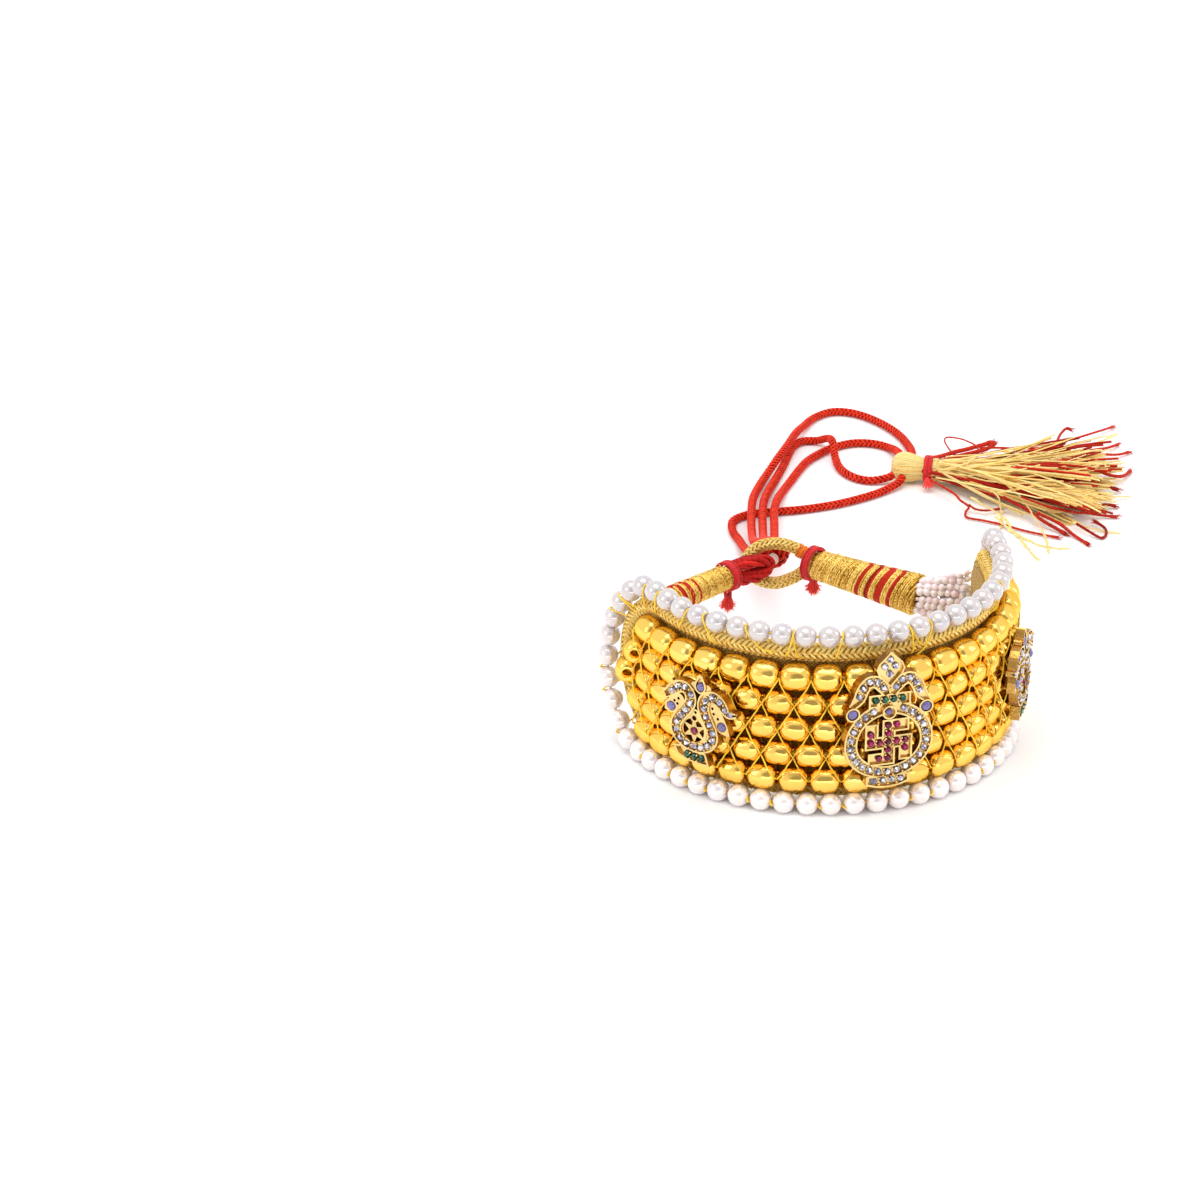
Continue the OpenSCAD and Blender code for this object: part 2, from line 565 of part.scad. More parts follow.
band_backing();
edge_piping();
bead_row(0);  // bead_row_1
bead_row(1);  // bead_row_2
bead_row(2);  // bead_row_3
bead_row(3);  // bead_row_4
bead_row(4);  // bead_row_5
row_threads();
pearls(true);  // pearls_top
pearls(false);  // pearls_bottom
pearl_thread();
centre_plaque();
color(pale_gold) on_peacock(-1) peacock();  // peacock_left
color(pale_gold) on_peacock(1) peacock();  // peacock_right
ruby_stones();
green_stones();
purple_stones();
clear_stones();
seed_strands(-1, tail_left_seed, tail_left_tip, 2.2);  // seed_strands_left
seed_strands(1, tail_right_seed, tail_right_tip, 3.2);  // seed_strands_right
tail(tail_left_seed, tail_left_tip, 2.3, 2.05);  // tail_left
tail(tail_right_seed, tail_right_tip, 3.5, 2.45);  // tail_right
tie(tail_left_seed, tail_left_tip, 1.3, 2.05, 0.4);  // tie_left
tie(tail_right_seed, tail_right_tip, 1.3, 2.45, 0.45);  // tie_right
closure_loop();
thread_loop();
cord_hitch();
drawcord(route_a);  // drawcord_a
drawcord(route_b);  // drawcord_b
drawcord(route_c);  // drawcord_c
drawcord(route_d);  // drawcord_d
tassel();
tassel_wrap();
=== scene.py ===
"""Pochi bracelet: beads, pearls, plaques, braid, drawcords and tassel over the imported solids."""

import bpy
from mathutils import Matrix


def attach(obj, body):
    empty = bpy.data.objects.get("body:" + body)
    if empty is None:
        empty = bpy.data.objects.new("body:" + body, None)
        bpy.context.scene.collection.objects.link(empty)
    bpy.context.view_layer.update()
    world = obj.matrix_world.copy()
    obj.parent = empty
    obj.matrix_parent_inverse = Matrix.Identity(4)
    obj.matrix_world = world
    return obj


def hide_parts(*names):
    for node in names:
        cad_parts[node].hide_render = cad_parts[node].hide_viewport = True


bl_info = {
    "name": "Pochi Bracelet",
    "version": (1, 0, 0),
    "blender": (4, 5, 0),
    "location": "3D View > Sidebar > Bracelet",
    "description": "Makes the visible pieces of a beaded bracelet with stone-set plaques and a tassel",
    "category": "Add Mesh",
}

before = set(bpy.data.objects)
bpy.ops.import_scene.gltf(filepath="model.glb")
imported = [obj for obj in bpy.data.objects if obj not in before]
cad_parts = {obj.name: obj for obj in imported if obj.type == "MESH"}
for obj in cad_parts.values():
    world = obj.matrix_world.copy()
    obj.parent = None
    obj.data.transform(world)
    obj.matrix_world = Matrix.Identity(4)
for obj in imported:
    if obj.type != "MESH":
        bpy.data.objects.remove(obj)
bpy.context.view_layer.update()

import math
import random

import bmesh
import bpy
import numpy as np
from mathutils import Matrix, Vector

MM = 0.001
TAU = 2 * math.pi
ROOT = "root"
UP = Vector((0, 0, 1))

# Sizes of the solids that the pieces are fitted to, in millimetres and degrees
RING_R = 29.9
ROW_Z = [22.7, 18.35, 14.0, 9.65, 5.3]
ROW_BEADS = [19, 20, 21, 20, 19]
OUTER_ROWS = (0, 4)
BEAD_TURN = 9.2
BEAD_HOLE_R = 0.8
# Diameter and length of a bead
OUTER_BEAD = (4.36, 4.56)
MIDDLE_BEAD = (4.16, 4.42)
EDGE_TURN = 85.0
PLAQUE_R = 32.2
STONE_BASE = 1.1
PEARL_R = 1.65
PEARLS = 70
CLOTH_R = (26.25, 27.65)
CLOTH_Z = (3.9, 24.9)
TAIL_Z = 15.0
# A tail's foot and tip, across and back, and its radius at both
TAILS = {"left": ((-17.5, 21.3), (-6.2, 27.0), 2.3, 2.05), "right": ((21.9, 10.1), (10.1, 26.9), 3.5, 2.45)}
TASSEL = Matrix.Translation((50.4, 87.6, 2.75)) @ Matrix.Rotation(math.radians(-30), 4, "Z")
SKIRT_SPREAD = math.radians(29)

# Lines of the drawcords' solids, from the hitch to the tassel, then the point inside its head
ROUTES = {
    "a": [(3.6, 34.2, 15.9), (3.8, 36.2, 15.8), (5, 42, 13.4), (7.1, 49, 10.2), (9.4, 56, 7.2), (11.8, 63, 4.9),
          (14.4, 70.5, 3.4), (16.8, 77, 2.8), (19.2, 83, 2.2), (22, 88.6, 1.4), (25.6, 94.2, 1.2), (29.4, 98.4, 2.4),
          (33.5, 103.6, 2.8), (37.4, 109.4, 2.5), (41, 115, 1.2), (45, 119.4, 0.8), (49.4, 121, 0.8),
          (53.2, 118.6, 0.8), (55.8, 113.2, 0.8), (57, 106.8, 0.8), (56.6, 100.2, 0.9), (54.9, 94.6, 1.6),
          (53, 90.6, 2.6), (51.9, 89.5, 2.9)],
    "b": [(5.8, 34.2, 14), (6, 36.2, 13.9), (8, 42, 12), (10.8, 48.8, 9.2), (13.2, 55.5, 6.5), (15.7, 62.3, 4.6),
          (18.3, 69.3, 3.4), (20.6, 75.7, 2.8), (22.6, 80, 2.5), (24.8, 84.4, 1.6), (27.4, 88.8, 0.8),
          (30.3, 92.6, 0.8), (33.3, 96.6, 0.8), (36.4, 100.2, 0.8), (39.8, 102.8, 0.8), (43.4, 104.7, 0.8),
          (47.4, 105.4, 0.8), (50.9, 104, 0.8), (53, 100.9, 0.9), (52.8, 96.4, 1.8), (50.9, 91.2, 3.2),
          (50.7, 89.8, 3.0)],
    "c": [(5.5, 34.2, 15.9), (5.7, 36.2, 15.8), (6.9, 42, 13.4), (9, 48.9, 10.2), (11.3, 55.8, 7.2),
          (13.7, 62.6, 4.9), (16.3, 69.9, 3.4), (18.7, 76.4, 2.8), (21.1, 82.2, 2.2), (24, 87.9, 1.3),
          (27.5, 93.6, 0.8), (31.1, 99.2, 0.8), (33.9, 103.9, 0.8), (36.2, 107.4, 0.8), (38.6, 109.2, 0.8),
          (41.3, 108.4, 0.9), (42.5, 105.8, 2.2), (42.2, 102.6, 2.6), (41.2, 98.6, 1.2), (40.7, 94.4, 0.8),
          (41.5, 90.4, 0.8), (43.8, 87.9, 0.8), (47, 87.2, 1.2), (48.4, 87.1, 1.9)],
    "d": [(3.9, 34.2, 14), (4, 36.2, 13.9), (5.2, 42.5, 11.2), (6.8, 49.5, 8), (8.6, 56.5, 5), (10.4, 63.5, 2.6),
          (11.8, 69.6, 1.1), (12.3, 74.4, 0.8), (14, 78.6, 0.8), (17.8, 80.3, 0.8), (22.8, 79.9, 0.8),
          (28, 79.4, 0.8), (34, 79.7, 0.8), (39.5, 80.9, 0.8), (44, 82.5, 0.8), (48, 84.4, 1.2),
          (49.3, 85.6, 1.9)],
}
# The two bights of the hitch share their course back and up, and have their own places across
BIGHT = [(34.4, 15.9), (33.2, 16.0), (32.4, 15.7), (32.1, 15.0), (32.4, 14.3), (33.2, 14.0), (34.4, 14.0)]
BIGHTS_ACROSS = [(3.6, 3.6, 3.65, 3.7, 3.75, 3.85, 3.9), (5.5, 5.5, 5.6, 5.7, 5.75, 5.8, 5.8)]
GOLD_LOOP = [(9.98, 27.1, 16.15), (9.06, 28.4, 16.15), (7.4, 29.5, 17.2), (4.5, 30.6, 18.1), (1.2, 31.3, 17.6),
             (-0.9, 31.5, 15.2), (0.3, 30.9, 12.5), (3.3, 29.3, 11.6), (6.6, 28.7, 12.4), (9.06, 28.4, 13.85),
             (9.98, 27.1, 13.85)]
RED_LOOP = [(-6.1, 27.05, 16), (-4.9, 27.65, 16), (-2.6, 28.4, 16.3), (0.6, 29.1, 16.2), (2.6, 30, 15),
            (0.6, 29.1, 13.8), (-2.6, 28.4, 13.7), (-4.9, 27.65, 14), (-6.1, 27.05, 14)]

# Places of stones on the plaques, across and up
PEACOCK_STONES = [(-4.17, 5.82), (-3.1, 6.86), (-1.75, 7.15), (-0.62, 6.07), (-0.73, 4.56), (-1.58, 3.21),
                  (-2.45, 2.05), (-3.22, 0.8), (-3.25, -0.55), (-2.55, -1.8), (-1.35, -2.4), (0.0, -2.62),
                  (1.3, -2.5), (2.5, -1.85), (3.4, -0.68), (3.5, 0.65), (2.93, 1.9), (2.24, 3.1), (1.8, 4.4),
                  (2.1, 5.75), (3.3, 6.65), (4.7, 6.25), (5.72, 5.2), (6.7, 4.65)]
PEACOCK_PURPLES = [(-4.35, 3.1), (5.1, 2.1), (1.15, 7.85)]
PEACOCK_GREENS = [(-1.2, -4.26), (0.1, -4.38), (1.4, -4.42)]
LEAF = [(0.45, 8.2), (1.2, 9.55), (2.2, 10.5), (3.5, 10.5), (4.45, 9.3), (5, 7.9), (6.2, 6.5)]


# Lines and places


def mix(a, b, t):
    return a + (b - a) * t


def place(a, r, z):
    """A point of the band at the turn a, whose ends flare outwards."""
    q = math.radians(a)
    d = r + 0.006 * max(0.0, abs(a) - 80.0) ** 2
    return Vector((d * math.sin(q), -d * math.cos(q), z))


def heading(a, r):
    d = place(a + 1, r, 0) - place(a - 1, r, 0)
    return math.atan2(d.y, d.x)


def around(q, u, v):
    """Direction at the angle q from u towards v."""
    return math.cos(q) * u + math.sin(q) * v


def wound(q, u, v):
    """Directions at the angles q from the directions u towards v, one for each point of a line."""
    return np.cos(q)[:, None] * u + np.sin(q)[:, None] * v


def turned(angle, axis):
    return Matrix.Rotation(angle, 4, axis)


def any_turn(rnd):
    return rnd.uniform(0, 6.28)


def edge_line(low_r, high_r, low_z, high_z, bulge, out):
    """Closed line round the band's edge, from the top middle to the right and back."""
    mid, half = (low_z + high_z) / 2, (high_z - low_z) / 2
    end = []
    for k in range(14):
        f = math.radians(78 - 12 * k)
        end.append(place(EDGE_TURN + bulge * math.cos(f),
                         mix(low_r, high_r, (1 + math.sin(f)) / 2) + out * math.cos(f), mid + half * math.sin(f)))
    right = [place(a, high_r, high_z) for a in range(0, 85, 6)] + end
    right += [place(a, low_r, low_z) for a in range(84, -1, -6)]
    left = [Vector((-p.x, p.y, p.z)) for p in reversed(right[1:-1])]
    return np.array([tuple(p) for p in right + left])


def running(line, closed=False):
    """Running length at each point of a line."""
    p = np.vstack([line, line[:1]]) if closed else line
    return np.concatenate([[0.0], np.cumsum(np.linalg.norm(np.diff(p, axis=0), axis=1))])


def at_lengths(line, lengths, closed=False):
    p = np.vstack([line, line[:1]]) if closed else line
    s = running(line, closed)
    return np.stack([np.interp(lengths, s, p[:, k]) for k in range(3)], axis=1)


def spaced(line, count):
    """Points at even lengths along a closed line."""
    total = running(line, True)[-1]
    return at_lengths(line, (np.arange(count) + 0.5) * total / count, True)


def rounded(points, steps, closed=False):
    """Smooth line through points, with steps from each one to the next."""
    p = np.asarray(points, float)
    n = len(p)
    out = []
    for i in range(n if closed else n - 1):
        near = [(i + k) % n if closed else min(max(i + k, 0), n - 1) for k in (-1, 0, 1, 2)]
        a, b, c, d = p[near]
        for k in range(steps):
            t = k / steps
            out.append(0.5 * (2 * b + (c - a) * t + (2 * a - 5 * b + 4 * c - d) * t * t
                              + (3 * b - a - 3 * c + d) * t ** 3))
    if not closed:
        out.append(p[-1])
    return np.array(out)


def evenly(line, step, closed=False):
    total = running(line, closed)[-1]
    count = max(2, round(total / step))
    lengths = np.arange(count) * total / count if closed else np.linspace(0, total, count + 1)
    return at_lengths(line, lengths, closed)


def unit(v):
    return v / np.maximum(np.linalg.norm(v, axis=-1, keepdims=True), 1e-12)


def directions(line, closed):
    return unit(np.roll(line, -1, 0) - np.roll(line, 1, 0) if closed else np.gradient(line, axis=0))


def frames(line, closed=False, ref=None):
    """Direction of a line and two directions square to it, at each point."""
    t = directions(line, closed)
    if ref is not None:
        r = np.broadcast_to(np.asarray(ref, float), line.shape)
        n = unit(r - (r * t).sum(1, keepdims=True) * t)
        return t, n, np.cross(t, n)
    n = np.zeros_like(line)
    v = np.array([0.0, 0.0, 1.0]) if abs(t[0][2]) < 0.9 else np.array([0.0, 1.0, 0.0])
    for i, d in enumerate(t):
        v = unit(v - v.dot(d) * d)
        n[i] = v
    return t, n, np.cross(t, n)


def pearl_places():
    line = spaced(edge_line(low_r=31.2, high_r=29.0, low_z=PEARL_R, high_z=29.2, bulge=17.8, out=0.5), PEARLS)
    return line, directions(line, True)


def piping_line():
    return spaced(edge_line(low_r=27.1, high_r=27.7, low_z=2.55, high_z=26.0, bulge=15, out=0.8), 72)


def tail_axes(key):
    """Foot and tip of a tail's middle line, its direction, and the level direction square to it."""
    foot, tip, _, _ = TAILS[key]
    a, b = Vector((*foot, TAIL_Z)), Vector((*tip, TAIL_Z))
    way = (b - a).normalized()
    return a, b, way, Vector((-way.y, way.x, 0))


def cloth_end(z):
    """Turn at which the cloth wall ends, at a height; its ends are round."""
    middle, half, bulge = 14.3, 11.7, 13.6
    return EDGE_TURN + bulge * math.sqrt(max(0.0, 1 - ((z - middle) / half) ** 2))


def plaque_frames():
    """Each plaque's own frame: across, up, outwards."""
    upright = turned(math.radians(90), "X")
    return {key: turned(math.radians(a), "Z") @ Matrix.Translation((0, -PLAQUE_R, z)) @ upright
            for key, a, z in (("centre", -2, 13), ("left", -54, 12), ("right", 54, 12))}


def peacock_spots(side, spots):
    """Places on a peacock plaque, mirrored on the right one."""
    return [((u - 0.85) * (1 if side == "left" else -1), v) for u, v in spots]


def centre_spots():
    """Places of the centre plaque's stones, by colour."""
    pitch = 1.39
    cross = [(i * pitch, 0) for i in range(-2, 3)] + [(0, i * pitch) for i in (-2, -1, 1, 2)]
    cross += [(pitch * u, pitch * v) for u, v in ((1, 2), (2, -1), (-1, -2), (-2, 1))]
    pot = []
    for i in range(23):
        q = math.radians(114 + i * 14.18)
        pot.append((6.15 * math.cos(q), 5.12 * math.sin(q) + 0.75 * max(0, math.sin(q))))
    bar = [((i - 1.5) * 1.43, 7.2) for i in range(4)]
    foot = [((i - 1.5) * 1.45, -6.53) for i in range(4)]
    leaves = [(s * float(u), float(v)) for s in (-1, 1) for u, v in rounded(LEAF, 5)[4:29:5]]
    drop = [(0, 13.9), (-0.85, 12.75), (0.85, 12.75), (0, 11.5)]
    return {"ruby": cross, "green": bar, "clear": pot + foot + leaves + drop,
            "purple": [(-5.95, 5.4), (5.95, 5.4), (0, 5.1)]}


# Making pieces


def start():
    """Nothing selected, object mode."""
    if bpy.context.object and bpy.context.object.mode != "OBJECT":
        bpy.ops.object.mode_set(mode="OBJECT")
    bpy.ops.object.select_all(action="DESELECT")


def pick(obj):
    start()
    obj.select_set(True)
    bpy.context.view_layer.objects.active = obj
    return obj


def new_object(name, data):
    obj = bpy.data.objects.new(name, data)
    bpy.context.scene.collection.objects.link(obj)
    return obj


def joined(objects):
    """One object of several, in the place of the first."""
    main = pick(objects[0])
    for obj in objects[1:]:
        obj.select_set(True)
    if len(objects) > 1:
        bpy.ops.object.join()
    return main


def hang(obj, name, finish, stands_for=(), smooth=True):
    """Name a finished piece, give it its material and put it on the frame."""
    obj.name = name
    obj.data.name = name
    obj.data.materials.clear()
    obj.data.materials.append(finish_of(finish))
    if smooth:
        obj.data.polygons.foreach_set("use_smooth", [True] * len(obj.data.polygons))
    obj.data.update()
    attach(obj, ROOT)
    if stands_for:
        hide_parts(*stands_for)
    return obj


def copies(model, places, keep=False):
    """One object of copies of a model, each placed by a matrix in millimetres."""
    made = []
    for m in places:
        data = model.data.copy()
        data.transform(m)
        made.append(new_object("copy", data))
    whole = joined(made)
    whole.data.transform(Matrix.Scale(MM, 4))
    if not keep:
        bpy.data.objects.remove(model)
    return whole


def threads(lines, radius, taper=1.0, closed=False):
    """One mesh of round threads, from curves with a round bevel; radius is one number or one a line."""
    curve = bpy.data.curves.new("threads", "CURVE")
    curve.dimensions = "3D"
    curve.bevel_depth = MM
    curve.bevel_resolution = 1
    curve.use_fill_caps = not closed
    radii = np.broadcast_to(np.asarray(radius, float), (len(lines),))
    for line, r in zip(lines, radii):
        spline = curve.splines.new("POLY")
        spline.points.add(len(line) - 1)
        co = np.ones((len(line), 4))
        co[:, :3] = np.asarray(line) * MM
        spline.points.foreach_set("co", co.ravel())
        spline.points.foreach_set("radius", np.linspace(r, r * taper, len(line)))
        spline.use_cyclic_u = closed
    pick(new_object("threads", curve))
    bpy.ops.object.convert(target="MESH")
    return bpy.context.view_layer.objects.active


def lofted(strips):
    """One mesh of tubes. A strip is (rings of points, closed, tone), whose tone may carry painted shade; UV runs
    round and along it in millimetres.
    """
    verts, faces, uvs, tones = [], [], [], []
    base = 0
    for rings, closed, tone in strips:
        m, k = rings.shape[:2]
        along = running(rings.mean(1), closed)
        verts.append(rings.reshape(-1, 3))
        tones.append(np.repeat(np.broadcast_to(np.asarray(tone, float), (m,)), k))
        i, j = np.meshgrid(np.arange(m if closed else m - 1), np.arange(k), indexing="ij")
        i, j = i.ravel(), j.ravel()
        i2, j2 = (i + 1) % m, (j + 1) % k
        faces.append(np.stack([i * k + j, i * k + j2, i2 * k + j2, i2 * k + j], 1) + base)
        u0, u1 = j / k, (j + 1) / k
        v0, v1 = along[i], along[i + 1]
        uvs.append(np.stack([u0, v0, u1, v0, u1, v1, u0, v1], 1).reshape(-1, 2))
        base += m * k
    mesh = bpy.data.meshes.new("lofted")
    mesh.from_pydata((np.concatenate(verts) * MM).tolist(), [], np.concatenate(faces).tolist())
    mesh.uv_layers.new(name="UVMap").data.foreach_set("uv", np.concatenate(uvs).ravel())
    mesh.attributes.new("tone", "FLOAT", "POINT").data.foreach_set("value", np.concatenate(tones))
    obj = pick(new_object("lofted", mesh))
    bpy.ops.object.mode_set(mode="EDIT")
    bpy.ops.mesh.select_mode(type="EDGE")
    bpy.ops.mesh.select_all(action="DESELECT")
    bpy.ops.mesh.select_non_manifold(extend=False, use_wire=False, use_multi_face=False,
                                     use_non_contiguous=False, use_verts=False)
    if any(not closed for _, closed, _ in strips):
        bpy.ops.mesh.edge_face_add()
    bpy.ops.mesh.select_all(action="SELECT")
    bpy.ops.mesh.normals_make_consistent(inside=False)
    bpy.ops.object.mode_set(mode="OBJECT")
    return obj


def rings_on(line, radius, sides, closed=False, ref=None):
    """Round rings of points along a line; radius is one number or one for each point."""
    _, n, b = frames(line, closed, ref)
    r = np.broadcast_to(np.asarray(radius, float), (len(line),))[:, None, None]
    q = np.linspace(0, TAU, sides, endpoint=False)[None, :, None]
    return line[:, None, :] + r * (np.cos(q) * n[:, None, :] + np.sin(q) * b[:, None, :])


def braid(line, radius, count, pitch, width, thick, lift, closed=False, ref=None, sides=6, seed=1):
    """Strands that wind both ways round a line, each over two and under two of those that it meets."""
    rnd = random.Random(seed)
    _, n, b = frames(line, closed, ref)
    s = running(line, closed)
    if closed:
        pitch = s[-1] / round(s[-1] / pitch)
    s = s[:len(line)]
    f = np.linspace(0, TAU, sides, endpoint=False)[None, :, None]
    strips = []
    for way in (1, -1):
        for i in range(count):
            out = wound(way * TAU * s / pitch + TAU * i / count, n, b)
            over = way * np.cos(way * math.pi * count * s / pitch + math.pi * i - math.pi / 4)
            centre = line + (radius + lift * over)[:, None] * out
            d = directions(centre, closed)
            side = unit(np.cross(d, out))
            up = np.cross(side, d)
            ring = centre[:, None, :] + width * np.cos(f) * side[:, None, :] + thick * np.sin(f) * up[:, None, :]
            # The tone is random in part and painted shade in part: darker where the strand dips under the others
            strips.append((ring, closed, 0.3 * rnd.random() + 0.35 * (1 + over)))
    return strips


def red_cord(line, seed, core_r):
    """Strips of a drawcord: eight braided strands on a core."""
    strands = braid(line, radius=0.52, count=4, pitch=3.6, width=0.28, thick=0.17, lift=0.11, seed=seed)
    # The core's tone of 0 is painted shade, as it shows only between the strands
    return strands + [(rings_on(line, core_r, 6), False, 0.0)]


# Materials


def node(tree, kind, inputs=(), **settings):
    """A shader node; each input is a value or a socket of another node."""
    n = tree.nodes.new("ShaderNode" + kind)
    for key, value in settings.items():
        setattr(n, key, value)
    for key, value in dict(inputs).items():
        if isinstance(value, bpy.types.NodeSocket):
            tree.links.new(value, n.inputs[key])
        else:
            n.inputs[key].default_value = value
    return n


def new_material(name, values):
    m = bpy.data.materials.new(name)
    m.use_nodes = True
    for key, value in values.items():
        m.node_tree.nodes["Principled BSDF"].inputs[key].default_value = value
    return m, m.node_tree


def maths(tree, operation, *values, **settings):
    return node(tree, "Math", enumerate(values), operation=operation, **settings).outputs[0]


def vectors(tree, operation, *values):
    return node(tree, "VectorMath", enumerate(values), operation=operation)


def added(tree, total, *parts):
    """A total with each value added to it by its weight."""
    for value, weight in parts:
        total = maths(tree, "MULTIPLY_ADD", value, weight, total)
    return total


def spot_of(tree):
    return node(tree, "TexCoord").outputs["Object"]


def strand_of(tree):
    """UV map of a strand: round it, and along it in millimetres."""
    uv = node(tree, "SeparateXYZ", {"Vector": node(tree, "TexCoord").outputs["UV"]})
    return uv.outputs["X"], uv.outputs["Y"]


def island(tree):
    """A number for each bead or thread of a piece."""
    return node(tree, "NewGeometry").outputs["Random Per Island"]


# The tone attribute: random for each strand, plus painted shade where a strand dips under others or is a hidden core
def tone_and_shade_of(tree):
    return node(tree, "Attribute", attribute_name="tone").outputs["Fac"]


def crest_shade_of(tree, u):
    """1 along the top of a strand, falling to 0 at its sides; it paints shade on the sides of a strand."""
    return maths(tree, "SINE", maths(tree, "MULTIPLY", u, TAU), use_clamp=True)


def noise(tree, scale, detail, at=None, **more):
    inputs = {"Vector": spot_of(tree) if at is None else at, "Scale": scale, "Detail": detail, **more}
    return node(tree, "TexNoise", inputs).outputs["Fac"]


def spread(tree, value, low, high, first=0.0, last=1.0):
    """A value from first to last, spread from low to high."""
    return node(tree, "MapRange", {"Value": value, "From Min": first, "From Max": last,
                                   "To Min": low, "To Max": high}).outputs[0]


def ramp(tree, value, *stops):
    n = node(tree, "ValToRGB", {"Fac": value})
    while len(n.color_ramp.elements) < len(stops):
        n.color_ramp.elements.new(0.5)
    for e, (at, colour) in zip(n.color_ramp.elements, stops):
        e.position = at
        e.color = (*colour[:3], 1)
    return n.outputs["Color"]


def feed(tree, key, socket):
    tree.links.new(socket, tree.nodes["Principled BSDF"].inputs[key])


def colour_by(tree, value, *stops):
    feed(tree, "Base Color", ramp(tree, value, *stops))


def rough_by(tree, value, low, high):
    feed(tree, "Roughness", spread(tree, value, low, high))


def relief(tree, height, distance, strength):
    bump = node(tree, "Bump", {"Height": height, "Distance": distance, "Strength": strength})
    feed(tree, "Normal", bump.outputs[0])


def shade(colour, k):
    """A lighter or darker colour."""
    return tuple(min(1.0, c * k) for c in colour[:3])


def tinted(colour, *k):
    """A colour with each of its parts made lighter or darker."""
    return tuple(min(1.0, c * f) for c, f in zip(colour, k))


def bead_gold(colour):
    """Bright rolled gold with slight dents and a warmer tone from bead to bead."""
    m, tree = new_material("bright_bead_gold", {"Metallic": 1.0, "Specular Tint": (1.0, 0.78, 0.35, 1.0)})
    tone = maths(tree, "ADD", noise(tree, 260.0, 2.0), island(tree))
    colour_by(tree, maths(tree, "MULTIPLY", tone, 0.5), (0.15, shade(colour, 0.88)), (0.5, colour),
              (0.85, tinted(colour, 1.03, 1.08, 1.3)))
    rough_by(tree, noise(tree, 900.0, 4.0), 0.07, 0.2)
    relief(tree, noise(tree, 330.0, 1.0, Distortion=0.4), 0.00045, 0.5)
    return m


def cast_gold(name, colour, rough):
    """Pale cast gold, softly polished on its rails, with fine casting grain and painted shade on its side walls."""
    m, tree = new_material(name, {"Metallic": 1.0})
    grain = noise(tree, 2600.0, 3.0)
    # Painted shade: walls that face along the band, not out of it, are painted a darker gold, as if in the shade of
    # the openwork
    outward = vectors(tree, "NORMALIZE", vectors(tree, "MULTIPLY", spot_of(tree), (1.0, 1.0, 0.0)).outputs[0])
    normal = node(tree, "NewGeometry").outputs["True Normal"]
    facing = vectors(tree, "DOT_PRODUCT", outward.outputs[0], normal).outputs["Value"]
    face = ramp(tree, noise(tree, 420.0, 2.0), (0.3, shade(colour, 0.78)), (0.55, colour), (0.75, shade(colour, 1.1)))
    wall_shaded_colour = node(tree, "Mix", {"Factor": spread(tree, facing, 0.0, 1.0, 0.25, 0.75),
                              6: (*tinted(colour, 0.55, 0.42, 0.25), 1), 7: face}, data_type="RGBA")
    feed(tree, "Base Color", wall_shaded_colour.outputs[2])
    rough_by(tree, grain, rough - 0.08, rough + 0.14)
    relief(tree, grain, 0.00006, 0.6)
    return m


def metal_thread(name, dark, mid, light):
    """Flat metal thread wound on yarn: fine slanted filaments, with painted shade where a strand dips under others
    and on its sides.
    """
    m, tree = new_material(name, {"Metallic": 0.8, "Specular Tint": (1.0, 0.85, 0.5, 1.0)})
    filaments = 5.0
    u, v = strand_of(tree)
    slant = maths(tree, "MULTIPLY_ADD", v, 0.9, u)
    wave = maths(tree, "SINE", maths(tree, "MULTIPLY", slant, filaments * TAU))
    glint = noise(tree, 2600.0, 3.0, Roughness=0.7)
    value = added(tree, -0.55, (glint, 1.2), (tone_and_shade_of(tree), 0.5), (crest_shade_of(tree, u), 0.45), (wave, 0.07))
    colour_by(tree, value, (0.3, dark), (0.6, mid), (0.92, light))
    rough_by(tree, glint, 0.2, 0.5)
    relief(tree, wave, 0.00005, 0.7)
    return m


def wound_metal(name, dark, mid, light):
    """Metal thread laid in close turns: each turn has its own tone, broken by small glints."""
    m, tree = new_material(name, {"Metallic": 0.7, "Specular Tint": (1.0, 0.85, 0.5, 1.0)})
    glint = noise(tree, 3600.0, 2.0, Roughness=0.7)
    colour_by(tree, added(tree, -0.33, (glint, 1.7), (island(tree), 0.26)), (0.4, dark), (0.57, mid), (0.85, light))
    rough_by(tree, glint, 0.22, 0.5)
    relief(tree, glint, 0.0001, 0.6)
    return m


def yarn(name, dark, light, sheen=(1, 1, 1), rough=0.62, gloss=0.25, through=0.0):
    """Silky yarn: each thread has its own tone, with fine fibres along it."""
    m, tree = new_material(name, {
        "Roughness": rough, "Sheen Weight": 0.12, "Sheen Roughness": 0.4, "Sheen Tint": (*sheen, 1.0),
        "Specular IOR Level": gloss, "Subsurface Weight": through, "Subsurface Radius": (0.0022, 0.0016, 0.0007),
        "Subsurface Scale": 1.0})
    fine = noise(tree, 2400.0, 3.0)
    colour_by(tree, added(tree, fine, (island(tree), 0.55)), (0.3, dark), (0.95, light))
    relief(tree, fine, 0.00004, 0.6)
    return m


def cord_yarn(name, dark, mid, light, fibres=7, crest_shade_weight=0.45):
    """Braided cord: lengthwise fibres on each strand, with painted shade where a strand dips under others and on its
    sides.
    """
    m, tree = new_material(name, {"Roughness": 0.55, "Specular IOR Level": 0.14})
    u, _ = strand_of(tree)
    fibre = maths(tree, "SINE", maths(tree, "MULTIPLY", u, fibres * TAU))
    value = added(tree, -0.2, (noise(tree, 1500.0, 4.0), 0.5), (tone_and_shade_of(tree), 0.85 - 0.6 * crest_shade_weight),
                  (crest_shade_of(tree, u), crest_shade_weight), (fibre, 0.07))
    colour_by(tree, value, (0.36, dark), (0.68, mid), (0.97, light))
    relief(tree, value, 0.00012, 0.8)
    return m


